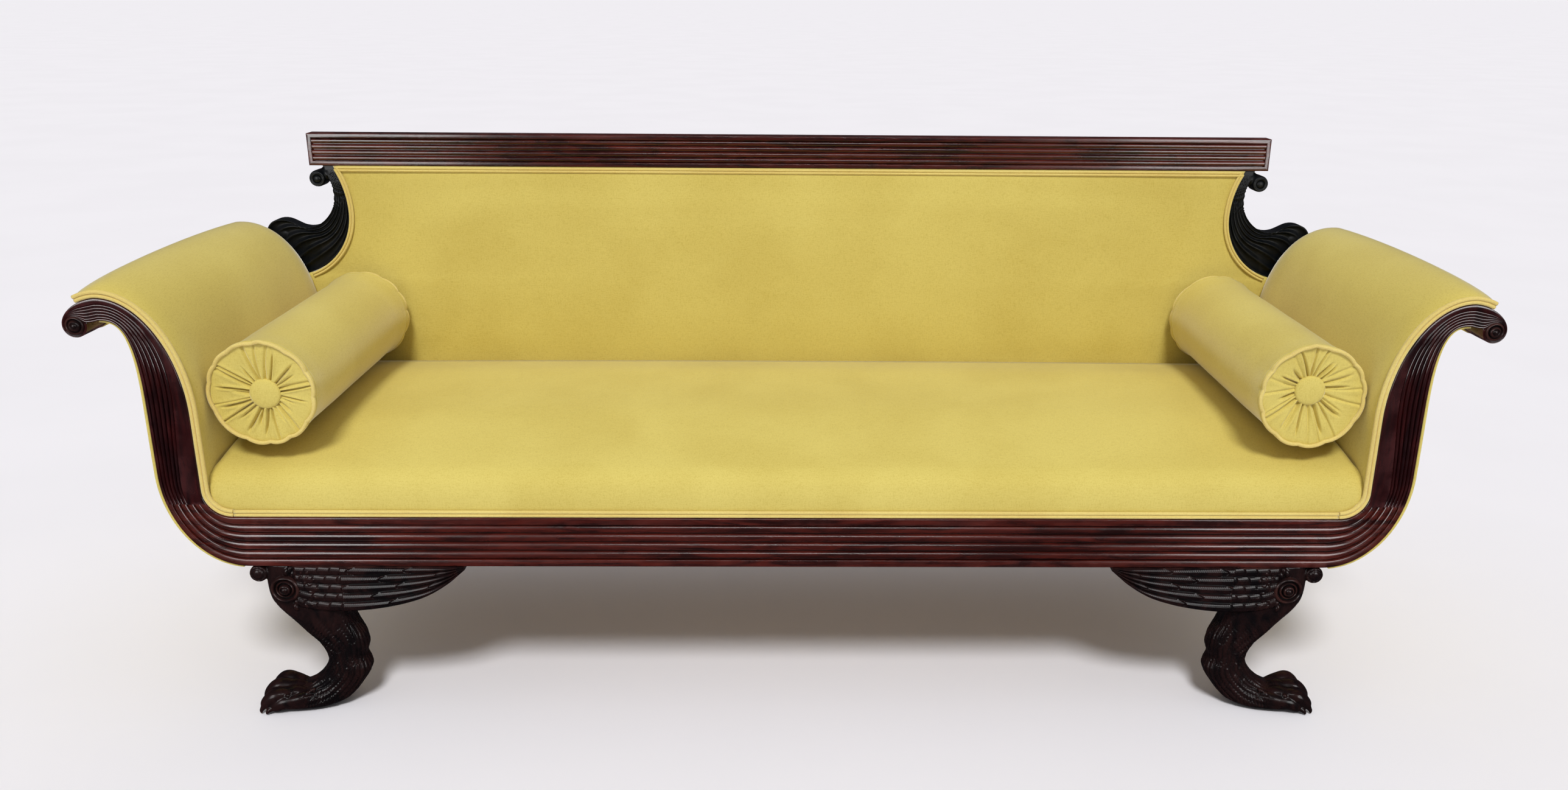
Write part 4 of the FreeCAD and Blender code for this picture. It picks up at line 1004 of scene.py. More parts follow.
@dataclass
class ReededBand:
    """The reeded band of the seat rail, its corners and the two scroll arms."""

    finishes: Finishes
    curves: ArmCurves = field(default_factory=ArmCurves)
    thick: float = 38.0
    nominal: float = 85.0
    flat: float = 12.3
    reed_depth: float = 6.2
    arm_relief: float = 0.72
    edge_round: float = 2.2
    quirk: float = 0.5
    rail_reeds: int = 4
    arm_reeds: int = 5
    # share of the facing that its inner flat takes at the joint and at the top, and its outer flat
    arm_upper: tuple[float, float] = (0.46, 0.24)
    arm_lower: float = 0.08
    # height over which the inner flat narrows, and shares of the curl over which the reeds fade
    narrowing: float = 300.0
    fading: tuple[float, float] = (0.35, 0.6)
    curl_sunk: float = 1.6
    # radius of the scroll's turned button and its section: steps in from the rim, then radii
    boss_round: float = 14.2
    boss_rim: tuple = ((0, 4.0), (0, -0.6), (0.8, -2.0), (2.4, -2.4), (3.6, -1.2), (4.4, 0.4))
    boss_middle: tuple = (
        (9.2, 0.6), (8.8, -1.8), (7.4, -3.6), (5.6, -4.4), (4.6, -3.6), (3.8, -4.4), (2.0, -5.4), (0.8, -5.6)
    )
    # radius and depth of the round core behind the button
    plug: tuple = ((18.4, 62.0), (18.2, 4.0), (16.4, 2.4), (13.0, 2.0))

    def profile(self, upper: float, lower: float, reeds: int) -> tuple[Array, Array]:
        """Moulding across the band.

        Args:
            upper: share of the width that the inner flat takes.
            lower: share that the outer flat takes.
            reeds: how many reeds lie between them.

        Returns:
            Places across the band and depths behind its face.
        """
        turns = np.radians(np.linspace(0, 90, 4))
        corner = self.edge_round / self.nominal * (1 - np.cos(turns))
        fall = self.edge_round * (1 - np.sin(turns))
        quirk = self.quirk / self.nominal * np.array([2.5, 1.0, 0.0])
        drop = np.array([0.0, self.quirk, 0.8 * self.reed_depth])
        shares, depths = [corner, upper - quirk], [fall, drop]
        step = (1 - upper - lower) / reeds
        turns = np.radians(np.linspace(172, 8, 11))
        for i in range(reeds):
            shares.append(upper + (i + 0.5) * step + step / 2 * np.cos(turns) * 0.98)
            depths.append(self.reed_depth * (1 - np.sin(turns)))
        shares += [1 - lower + quirk[::-1], 1 - corner[::-1]]
        depths += [drop[::-1], fall[::-1]]
        return np.concatenate(shares), np.concatenate(depths)

    def piece(self, name: str, node: str, upright: bool = False) -> Piece:
        """Specification of one polished piece, whose grain runs level or upright."""
        material = self.finishes.upright if upright else self.finishes.polished
        return Piece(name, material, "polished_mahogany", (node,), sharp=60.0)

    def build(self) -> None:
        """Make the rail, both corners, both facings and the eyes of the scrolls."""
        edge = self.flat / self.nominal
        shares, depths = self.profile(edge, edge, self.rail_reeds)
        run = np.linspace(-self.curves.rail_end, self.curves.rail_end, 60)
        edges = (self.curves.rail_top, self.curves.rail_low)
        inner, outer = (np.stack([run, 0 * run + z], -1) for z in edges)
        uneven = depths + waves(in_space(inner, 0.0), 260.0, 0.12, 3)[:, None].clip(0)
        rail = band(inner, outer, shares, uneven, self.thick)
        self.piece("seat_rail_reeding", "front_seat_rail").make(rail)
        corner = band(*self.curves.corner(), shares, depths, self.thick)
        facing = self.facing()
        for side in Side:
            for part, shape in (("rail_corner", corner), ("arm_facing", facing)):
                node = f"{side.word}_{part}"
                self.piece(f"{node}_reeding", node, upright=shape is facing).make(shape.on(side))
        eyes = self.scroll_eye().doubled()
        Piece("scroll_eyes", self.finishes.carved, "carved_mahogany", ("scroll_bosses",)).make(eyes)

    def facing(self) -> Shape:
        """One arm's facing: upright, sweep and the curl that fades into the eye.

        Returns:
            The facing of the right arm.
        """
        upright_inner, upright_outer = self.curves.upright()
        curl_inner, curl_outer = self.curves.curl()
        inner = np.concatenate([upright_inner, curl_inner[1:]])
        outer = np.concatenate([upright_outer, curl_outer[1:]])
        curled = (np.arange(len(inner)) - len(upright_inner)) / len(curl_inner)
        risen = ease((inner[:, 1] - self.curves.joint) / self.narrowing)
        risen[len(upright_inner) :] = 1.0
        upper = self.arm_upper[0] + (self.arm_upper[1] - self.arm_upper[0]) * risen
        rails = [self.profile(share, self.arm_lower, self.arm_reeds) for share in upper]
        shares, depths = (np.array(part) for part in zip(*rails))
        width = np.linalg.norm(outer - inner, axis=1)
        scale = np.clip(width / self.nominal, 0.12, self.arm_relief)[:, None]
        faded = 1 - ease((curled - self.fading[0]) / self.fading[1])[:, None]
        sunk = self.curl_sunk * ease(curled)[:, None] * shares
        face = depths * scale * (0.3 + 0.7 * faded) + sunk
        return joined([band(inner, outer, shares, face, self.thick), lathe(self.plug, self.curves.eye)])

    def scroll_eye(self) -> Shape:
        """The turned button in the middle of a scroll.

        Returns:
            The button of the right arm.
        """
        profile = [(self.boss_round - inward, y) for inward, y in self.boss_rim]
        return lathe([*profile, *self.boss_middle], self.curves.eye)


@dataclass
class CrestRail:
    """The reeded top rail in its flat mitred border."""

    finishes: Finishes
    half_length: float = 918.0
    top: float = 883.0
    low: float = 823.0
    front: float = 577.0
    thick: float = 36.0
    border: float = 8.5
    reeds: int = 4
    reed_share: float = 0.46
    reed_squareness: float = 0.5
    sunk: float = 6.5
    # places across the border and depths behind its face
    border_moulding: tuple = (
        (0.0, 0.02, 0.06, 0.13, 0.87, 0.94, 0.98, 1.0), (1.3, 0.6, 0.15, 0.0, 0.0, 0.15, 0.6, 1.3)
    )

    def bar(self, corners: Sequence[tuple], inner: Sequence[tuple]) -> Shape:
        """One mitred side of the border.

        Args:
            corners: the two outer corners (x, z).
            inner: the two inner corners.

        Returns:
            The moulded bar.
        """
        shares, depths = np.array(self.border_moulding)
        level = corners[0][1] == corners[1][1]
        run = np.linspace(0, 1, 24 if level else 3)[:, None]
        outer, inside = (np.array(start) + (np.array(end) - start) * run for start, end in (corners, inner))
        return band(outer, inside, shares, self.front + depths, self.front + self.sunk + 1)

    def build(self) -> None:
        """Make the crest rail."""
        half, edge = self.half_length, self.border
        ways = ((-1, -1), (1, -1), (1, 1), (-1, 1))
        middle, rise = (self.top + self.low) / 2, (self.top - self.low) / 2
        outer, inner = ([(x * (half - e), middle + z * (rise - e)) for x, z in ways] for e in (0, edge))
        bars = [self.bar((outer[i - 1], outer[i]), (inner[i - 1], inner[i])) for i in (1, 2, 3, 0)]
        heights = np.array([self.low, self.low, self.top - 2, self.top, self.top, self.top - 2])
        field_y = self.front + self.sunk
        back = self.front + self.thick
        depths = np.array([back, field_y, field_y, field_y + 3, back - 3, back])
        run = np.linspace(-half, half, 24)
        ring = np.stack([np.zeros(6), depths, heights], -1)
        board = grid(ring[None] + np.stack([run, 0 * run, 0 * run], -1)[:, None], wrap=True, capped=True)
        pitch = (self.top - self.low - 2 * edge) / self.reeds
        turns = np.radians(np.linspace(-8, 188, 13))
        crown = np.clip(np.sin(turns), 0, 1) ** self.reed_squareness
        run = np.linspace(-half + edge + 0.3, half - edge - 0.3, 40)
        level = np.stack([run, 0 * run, 0 * run], -1)
        sticks = []
        for i in range(self.reeds):
            middle = self.low + edge + (i + 0.5) * pitch
            height = middle + pitch * self.reed_share * np.cos(turns)
            ring = np.stack([0 * turns, field_y + 0.5 - (self.sunk - 0.3) * crown, height], -1)
            place = np.stack([run, waves(level, 300.0, 0.1, i), 0 * run], -1)
            sticks.append(grid(ring[None] + place[:, None], wrap=True, capped=True))
        wood = self.finishes.polished
        piece = Piece("crest_rail_reeding", wood, "polished_mahogany", ("crest_rail",), sharp=48.0)
        piece.make(joined([board, *bars, *sticks]))


@dataclass
class CrestBrackets:
    """Carved scrolls between the crest rail and the arms."""

    finishes: Finishes
    front: float = 580.0
    thick: float = 27.0
    proud: float = 8.0
    waist: tuple[float, float] = (850.0, 735.0)
    lower_round: float = 125.0
    upper_round: float = 173.0
    crest_low: float = 823.0
    volute: tuple[float, float] = (905.0, 798.0)
    eye_turning: tuple = (
        (11.5, 0), (11.5, 6.4), (10.2, 7.4), (8.2, 6.6), (7.6, 5.4), (6.8, 6.8), (4.0, 8.0), (0.8, 8.2)
    )
    # places across the volute's band and depths behind the bracket's front
    volute_moulding: tuple = (
        (0.0, 0.3, 0.45, 0.6, 0.75, 0.9, 1.0), (-0.5, -0.5, -4.6, -6.6, -6.8, -5.0, -1.0)
    )
    volute_root: tuple[float, float, float] = (890.0, 13.0, 806.0)
    leaf_tip: tuple[float, float, float] = (987.0, 12.0, 688.0)
    tip_radii: tuple[float, float, float] = (22.0, 17.5, 19.0)
    voxel: float = 1.3
    flutes: int = 6
    flute_depth: float = 7.0
    # outer edge from under the crest down the stem, round the hollow and over the leaf's lobe
    cove: tuple = (
        (895, 823), (887, 806), (880, 788), (877.5, 770), (879, 752), (886, 735), (898, 720), (914, 708.5),
        (931, 704), (947, 706), (961, 712.5), (974, 718), (988, 719), (1001, 715), (1010, 705.5),
        (1014, 693), (1012, 679), (1004, 667), (992, 657),
    )

    def inner_edge(self) -> Array:
        """The edge beside the back's cloth.

        Returns:
            Its points from the crest to the foot of the leaf.
        """
        heights = np.linspace(self.crest_low, self.waist[1], 14)
        reach = np.sqrt(self.upper_round**2 - (heights - self.waist[1]) ** 2)
        above = np.stack([self.waist[0] + self.upper_round - reach, heights], -1)
        turn = np.radians(180 + np.linspace(0, 88, 40)[1:])
        centre = (self.waist[0] + self.lower_round, self.waist[1])
        return np.concatenate([above, around(centre, self.lower_round, turn)])

    def build(self) -> None:
        """Make both brackets and their eyes."""
        inner, outer = evenly(self.inner_edge(), 70), smooth_path(self.cove, 70)
        shares, depths = self.profile()
        rows = np.linspace(0, 1, 70)
        rise = ease(rows / 0.12) * (1 - 0.75 * ease((rows - 0.86) / 0.14))
        face = self.front + 1.0 - rise[:, None] * (self.proud - depths)
        swell = 1.5 * np.sin(np.pi * shares)[None] * ease((rows - 0.45) / 0.3)[:, None]
        face = np.maximum(face - swell, self.front - self.proud)
        leaf = band(inner, outer, shares, face, self.front + self.thick)
        x, deep, z = self.leaf_tip
        tip = ellipsoid((x, self.front + deep, z), self.tip_radii, -20.0, 28)
        head = joined([leaf, self.volute_scroll(), tip])
        for side in Side:
            node = f"{side.word}_crest_bracket"
            piece = Piece(f"{node}_carving", self.finishes.brackets, "carved_mahogany", (node,), sharp=180.0)
            made = piece.make(head.on(side))
            remeshed(made, self.voxel, 2)
            piece.dress(made)
        eye = lathe([(radius, self.front - proud) for radius, proud in self.eye_turning], self.volute, 32)
        piece = Piece("bracket_volute_eyes", self.finishes.brackets, "carved_mahogany", ("bracket_eyes",))
        piece.make(eye.doubled())

    def profile(self) -> tuple[Array, Array]:
        """Hollow flutes with narrow ridges between them.

        Returns:
            Places across the leaf and depths below its ridges.
        """
        shares, depths = [0.0, 0.015], [3.5, 0.8]
        step = 0.97 / self.flutes
        for i in range(self.flutes):
            places = np.linspace(0.06, 0.94, 9)
            shares += list(0.015 + (i + places) * step)
            depths += list(self.flute_depth * np.sin(np.pi * places) ** 0.7)
        return np.array([*shares, 0.99, 1.0]), np.array([*depths, 0.8, 3.5])

    def volute_scroll(self) -> Shape:
        """The small scroll under the crest, a band curling round its eye.

        Returns:
            The scroll with its root.
        """
        angle = np.radians(np.linspace(150, -300, 60))
        outer = around(self.volute, 14.6 + 1.6 * np.linspace(1, 0, 60), angle)
        inner = around(self.volute, 6, angle)
        shares, depths = np.array(self.volute_moulding)[:, ::-1]
        scroll = band(outer, inner, 1 - shares, self.front + depths, self.front + self.thick)
        x, deep, z = self.volute_root
        return joined([scroll, ellipsoid((x, self.front + deep, z), (15.0, 15.0, 15.0), 0.0, 20)])


@dataclass
class LionLegs:
    """Front legs carved as lion's legs, each with a feathered wing along the rail."""

    finishes: Finishes
    front: float = 2.0
    top: float = 262.0
    voxel: float = 1.3
    feather_rows: int = 5
    stagger: tuple[float, ...] = (0.0, 0.45, 0.15, 0.6, 0.3)
    # how far the short feathers run from the wing's start, their length and the long ones' length
    feathers: tuple[float, float, float] = (78.0, 20.0, 92.0)
    wing_start: float = 800.0
    wing_proud: float = 8.0
    barb_pitch: float = 3.1
    # heights of a feather's crown, its lap over the next, its quill and its barbs
    feather_relief: tuple[float, float, float, float] = (4.3, 1.9, 0.45, 0.22)
    # the hair: width of a stroke, length of a lock, depth of a stroke and radius that it runs round
    stroke_width: float = 9.0
    lock_length: float = 46.0
    stroke_depth: float = 2.5
    hair_round: float = 36.0
    # radius of each row of scale feathers about the rosette, and how many lie round it
    scale_rows: tuple = ((29.0, 8), (35.5, 9), (42.5, 9), (50.0, 9))
    rosette: tuple[float, float] = (814.0, 222.0)
    ball: tuple[float, float] = (856.0, 247.0)
    rosette_turning: tuple = (
        (23.0, -1), (23.0, 4), (21.8, 6.2), (19.8, 7.2), (17.8, 5.8), (16.8, 2.4), (15.6, 2.2), (14.6, 5.0),
        (13.0, 6.4), (11.4, 5.0), (10.6, 2.4), (9.6, 2.6), (9.0, 6.2), (8.0, 8.6), (6.2, 9.4), (5.4, 8.4),
        (4.4, 9.6), (2.4, 11.2), (0.6, 11.6),
    )
    ball_turning: tuple = (
        (13.4, 60.0), (14.4, 56.0), (14.4, 6.0), (13.6, 3.0), (11.6, 1.5), (10.2, 3.6),
        (9.2, 3.4), (8.4, 1.4), (5.6, -0.4), (1.0, -1.2),
    )

    # outer x, outer z, inner x, inner z, middle y, half thickness, squareness
    stations: tuple = (
        (845, 262, 724, 262, 38, 36, 7.0),
        (848, 228, 724, 212, 38, 36, 6.0),
        (844, 196, 726, 178, 37, 35, 4.5),
        (824, 168, 720, 150, 36, 34, 3.4),
        (803, 143, 707, 126, 35, 32, 2.8),
        (780, 116, 703, 105, 35, 31, 2.5),
        (769, 92, 708, 86, 35, 31, 2.4),
        (770, 76, 701, 64, 34, 32, 2.3),
        (781, 58, 716, 38, 33, 32, 2.3),
        (797, 44, 738, 13, 29, 32, 2.4),
        (815, 38, 770, 2, 22, 33, 2.5),
        (832, 34, 812, 1, 16, 33, 2.6),
        (848, 28, 846, 2, 13, 30, 2.6),
    )
    # x, y, z and radius along each toe, from its root over two knuckles to the quick of its claw
    toes: tuple = (
        (
            (800, 33, 25, 8), (818, 35, 32, 10), (832, 37, 36, 11),
            (848, 39, 36.5, 12.8), (861, 40, 26, 11), (867, 40, 14, 9),
        ),
        (
            (800, 19, 25, 8), (819, 18, 34, 11), (834, 16, 36, 11.2),
            (852, 15, 35, 13.4), (865, 14, 24, 12), (870, 13, 13, 9),
        ),
        (
            (798, 5, 25, 9), (818, 1, 31, 11.5), (834, -3, 30, 11.4),
            (851, -6, 28, 13.4), (864, -8, 18, 11.6), (868, -9, 11, 9),
        ),
        (
            (786, -1, 20, 9), (804, -5, 24, 11), (820, -8, 22, 11),
            (837, -9.4, 19, 12.4), (850, -10, 13, 10.8), (855, -10, 10, 9),
        ),
    )
    # x, y, z and radius along each claw
    claws: tuple = (
        ((862, 40, 22, 5.4), (869, 41, 16, 4.8), (873, 41, 8, 3.4), (873.4, 41, 1.8, 1.4)),
        ((865, 14, 21, 5.6), (871, 13, 15, 5.0), (874.4, 12, 8, 3.4), (874.6, 12, 1.8, 1.4)),
        ((864, -10, 17, 5.4), (870, -13, 12, 4.8), (873.5, -15, 7, 3.3), (873.8, -16, 1.8, 1.4)),
        ((852, -14, 12, 4.8), (859, -17.5, 9, 4.2), (863, -19, 5, 2.8), (863.5, -19.6, 1.6, 1.3)),
    )
    bulges: tuple = ((828, -12, 33), (846, -13, 27), (790, -3, 37), (797, -5, 33), (804, -7, 30))
    lower_edge: tuple = (
        (800, 197), (780, 187), (755, 183), (730, 182), (700, 183), (660, 188),
        (620, 197), (585, 210), (552, 231), (523, 256),
    )

    def piece(self, name: str, node: str, sharp: float) -> Piece:
        """Specification of one carved piece."""
        return Piece(name, self.finishes.carved, "carved_mahogany", (node,), sharp=sharp)

    def limb(self) -> Shape:
        """The leg from the rail to the middle of the paw.

        Returns:
            The right leg without its toes.
        """
        rows = smooth_path(self.stations, 64)
        turn = np.linspace(0, 2 * math.pi, 48, endpoint=False)
        rings = []
        for outer_x, outer_z, inner_x, inner_z, middle, half, power in rows:
            ways = (np.cos(turn), np.sin(turn))
            across, depth = (np.sign(way) * np.abs(way) ** (2 / power) for way in ways)
            x = (outer_x + inner_x) / 2 + (outer_x - inner_x) / 2 * across
            z = (outer_z + inner_z) / 2 + (outer_z - inner_z) / 2 * across
            rings.append(np.stack([x, middle + half * depth, z], -1))
        return grid(np.array(rings), wrap=True, capped=True)

    def paw(self) -> Shape:
        """Four toes that spread from the front to the outside.

        Returns:
            The toes, their claws and the small bulges between their knuckles.
        """
        forms = []
        for steps, count, sides in ((self.toes, 40, 20), (self.claws, 14, 14)):
            for knots in steps:
                run = smooth_path(knots, count)
                forms.append(tube(run[:, :3], run[:, 3], sides))
        forms += [ellipsoid(place, (4.6, 4.4, 3.8), -20.0, 12) for place in self.bulges]
        return joined(forms)

    def scroll_ball(self) -> Shape:
        """The small roll at the top of the leg.

        Returns:
            The roll with its carved button.
        """
        return lathe(self.ball_turning, self.ball, 36)

    def fur(self, points: Array) -> Array:
        """Height of the carved hair, in long strokes that fan towards the paw.

        Args:
            points: places on the leg.

        Returns:
            One height for each place.
        """
        rows = smooth_path(self.stations, 64)
        middle = (rows[:, 0:2] + rows[:, 2:4]) / 2
        gaps = np.linalg.norm(points[:, None, [0, 2]] - middle[None], axis=2)
        nearest = gaps.argmin(axis=1)
        lengths = np.concatenate([[0], np.cumsum(np.linalg.norm(np.diff(middle, axis=0), axis=1))])
        axis = rows[:, 0:2] - rows[:, 2:4]
        width = np.linalg.norm(axis, axis=1)
        axis = axis / width[:, None]
        away = points[:, [0, 2]] - middle[nearest]
        tangent = np.gradient(middle, axis=0)
        tangent /= np.linalg.norm(tangent, axis=1)[:, None]
        along = lengths[nearest] + (away * tangent[nearest]).sum(1)
        across = (away * axis[nearest]).sum(1) / (width[nearest] / 2)
        depth = (points[:, 1] - rows[nearest, 4]) / rows[nearest, 5]
        round_it = np.arctan2(depth, across) * self.hair_round
        bend = 3.0 * np.sin(along / 24) + waves(points, 55, 2.2, 11)
        place = (round_it + bend) / self.stroke_width
        row = np.floor(place)
        lap = (along / self.lock_length + 0.618 * row) % 1.0
        stroke = np.abs(np.sin(np.pi * place)) ** 0.65
        fine = 0.25 * np.sin(2 * np.pi * (round_it + bend) / 3.0)
        swell = 0.35 + 0.65 * np.sin(np.pi * lap) ** 0.4
        height = self.stroke_depth * (stroke - 0.7) * swell + 0.7 * (0.5 - lap) + fine
        x, _, z = points.T
        lower = ease((178 - z) / 40) * ease((812 - x) / 22) * ease((z - 5) / 10)
        upper = 0.35 * ease((z - 150) / 20) * ease((845 - x) / 10)
        return height * np.maximum(lower, upper)

    def wing(self) -> Shape:
        """The wing: long overlapping feathers that taper to a tip along the rail.

        Returns:
            The right wing.
        """
        edge = smooth_path(self.lower_edge, 300)
        top = np.stack([edge[:, 0], np.full(len(edge), self.top - 0.3)], -1)
        shares = np.linspace(0, 1, 86)
        share = shares[None, :] * np.ones((len(edge), 1))
        x = edge[:, :1] * np.ones_like(share)
        lane = share * self.feather_rows
        row = np.clip(np.floor(lane), 0, self.feather_rows - 1)
        part = lane - row
        crown = np.clip(1 - np.abs(2 * part - 0.92) ** 2.4, 0, 1)
        start, (near, short, long) = self.wing_start - x, self.feathers
        stagger = np.array(self.stagger)[row.astype(int)]
        length = np.where(start < near, short, long)
        count = np.where(start < near, start / short, near / short + (start - near) / long) + stagger
        lap = (count - 0.2 * (1 - crown)) % 1.0
        barbs = np.sin(2 * math.pi * (x - 8 * np.abs(part - 0.46)) / self.barb_pitch)
        quill = np.exp(-(((part - 0.42) / 0.06) ** 2))
        full = np.sqrt(crown)
        raised, lapped, quilled, barbed = self.feather_relief
        lift = raised * full + lapped * lap * full + quilled * quill + barbed * barbs * full
        lift *= np.clip((self.top - edge[:, 1:]) / 26, 0.15, 1.0)
        lift *= 0.6 + 0.4 * ease(length / 74)
        ends = ease(start / 6)
        depths = self.front - self.wing_proud + 6.6 - lift * ends
        depths = np.maximum(depths, self.front - self.wing_proud - 0.3)
        return band(top, edge, shares, depths, self.front + 28.0)

    def coverts(self) -> Shape:
        """Short scale feathers over the shoulder beside the rosette.

        Returns:
            The scales of the right leg.
        """
        scales = []
        for row, (radius, count) in enumerate(self.scale_rows):
            for i in range(count):
                turn = math.radians(98 + (i + 0.5 * (row % 2)) * 160 / count)
                x, z = around(self.rosette, radius, turn)
                if 186 < z < 257:
                    place = (x, self.front + 0.2 - row * 0.8, z)
                    scales.append(ellipsoid(place, (6.4, 4.0, 3.9), math.degrees(turn), 14))
        return joined(scales)

    def rosette_form(self) -> Shape:
        """The turned rosette on the shoulder.

        Returns:
            The rosette of the right leg.
        """
        return lathe([(radius, self.front - proud) for radius, proud in self.rosette_turning], self.rosette)

    def build(self) -> None:
        """Make both legs, their wings and the rosettes."""
        whole = joined([self.limb(), self.paw(), self.scroll_ball(), self.coverts()])
        wing = self.wing()
        for side in Side:
            node = f"{side.word}_front_leg"
            piece = self.piece(f"{node}_carving", node, 180.0)
            made = piece.make(whole.on(side))
            remeshed(made, self.voxel, 2)
            points, facing = mesh_points(made.data)
            mirrored = points * (side.value, 1, 1)
            points += facing * self.fur(mirrored)[:, None]
            points[:, 2] = np.maximum(points[:, 2], 0.0)
            move_points(made.data, points)
            piece.dress(made)
            node = f"{side.word}_leg_wing"
            self.piece(f"{node}_feathers", node, 70.0).make(wing.on(side))
        self.piece("shoulder_rosettes", "leg_rosettes", 60.0).make(self.rosette_form().doubled())



# Upholstery


@dataclass
class ClothRun:
    """Air pressure that swells a pad's cloth on an even copy of its mesh.

    Each limit gives an axis, its lowest and highest free place and the width the hold fades over.
    """

    limits: Sequence[tuple[int, float, float, float]]
    cap: float = 5.0
    voxel: float = 12.0
    slack: float = 2.0
    pressure: float = 4.0
    frames: int = 20
    # points of the even copy that each point follows
    neighbours: int = 6
    shown: tuple[float, float, float] | None = None

    def free(self, points: Array, normals: Array) -> Array:
        """How free each point is, which is not at all on a side that rests on wood.

        Args:
            points: millimetres from the rail's face.
            normals: the way each point faces.

        Returns:
            One share for each point.
        """
        free = np.ones(len(points))
        for axis, low, high, fade in self.limits:
            free *= ease(np.minimum(points[:, axis] - low, high - points[:, axis]) / fade)
        return free if self.shown is None else free * ease((normals @ np.array(self.shown) - 0.1) / 0.5)

    def swell(self, made: bpy.types.Object) -> None:
        """Start from a slightly slack pad, swell it and keep the result.

        Args:
            made: the padded piece, changed in place.
        """
        points, normals = mesh_points(made.data)
        free = self.free(points, normals)[:, None]
        points -= normals * self.slack * free
        move_points(made.data, points)
        copy = placed("even_copy", made.data.copy())
        remeshed(copy, self.voxel, 1)
        start, _ = mesh_points(copy.data)
        self.simulate(copy)
        moved = mesh_points(copy.data)[0] - start
        far = np.linalg.norm(moved, axis=1)[:, None]
        moved *= np.minimum(1, self.cap / np.maximum(far, 1e-6))
        tree = KDTree(len(start))
        for index, point in enumerate(start):
            tree.insert(point, index)
        tree.balance()
        carried = np.zeros_like(points)
        for index in np.flatnonzero(free[:, 0]):
            found = tree.find_n(points[index], self.neighbours)
            weights = np.array([1 / (distance + 1) ** 2 for _, _, distance in found])
            carried[index] = weights @ moved[[near for _, near, _ in found]] / weights.sum()
        move_points(made.data, points + carried * free)
        mesh = copy.data
        bpy.data.objects.remove(copy)
        bpy.data.meshes.remove(mesh)

    def simulate(self, copy: bpy.types.Object) -> None:
        """Run the cloth on the even copy.

        Args:
            copy: the even copy, changed in place.
        """
        held = 1 - self.free(*mesh_points(copy.data))
        group = copy.vertex_groups.new(name="held")
        for index in np.flatnonzero(held):
            group.add([int(index)], float(held[index]), "REPLACE")
        cloth = copy.modifiers.new("cloth", "CLOTH")
        settings = {"quality": 3, "mass": 0.3, "tension_stiffness": 25, "bending_stiffness": 4}
        settings |= {"use_pressure": True, "uniform_pressure_force": self.pressure}
        settings["vertex_group_mass"] = "held"
        for key, value in settings.items():
            setattr(cloth.settings, key, value)
        cloth.settings.effector_weights.gravity = 0
        cloth.collision_settings.use_self_collision = False
        scene = bpy.context.scene
        for step in range(1, self.frames + 1):
            scene.frame_set(step)
        apply_modifiers(copy)
        scene.frame_set(1)


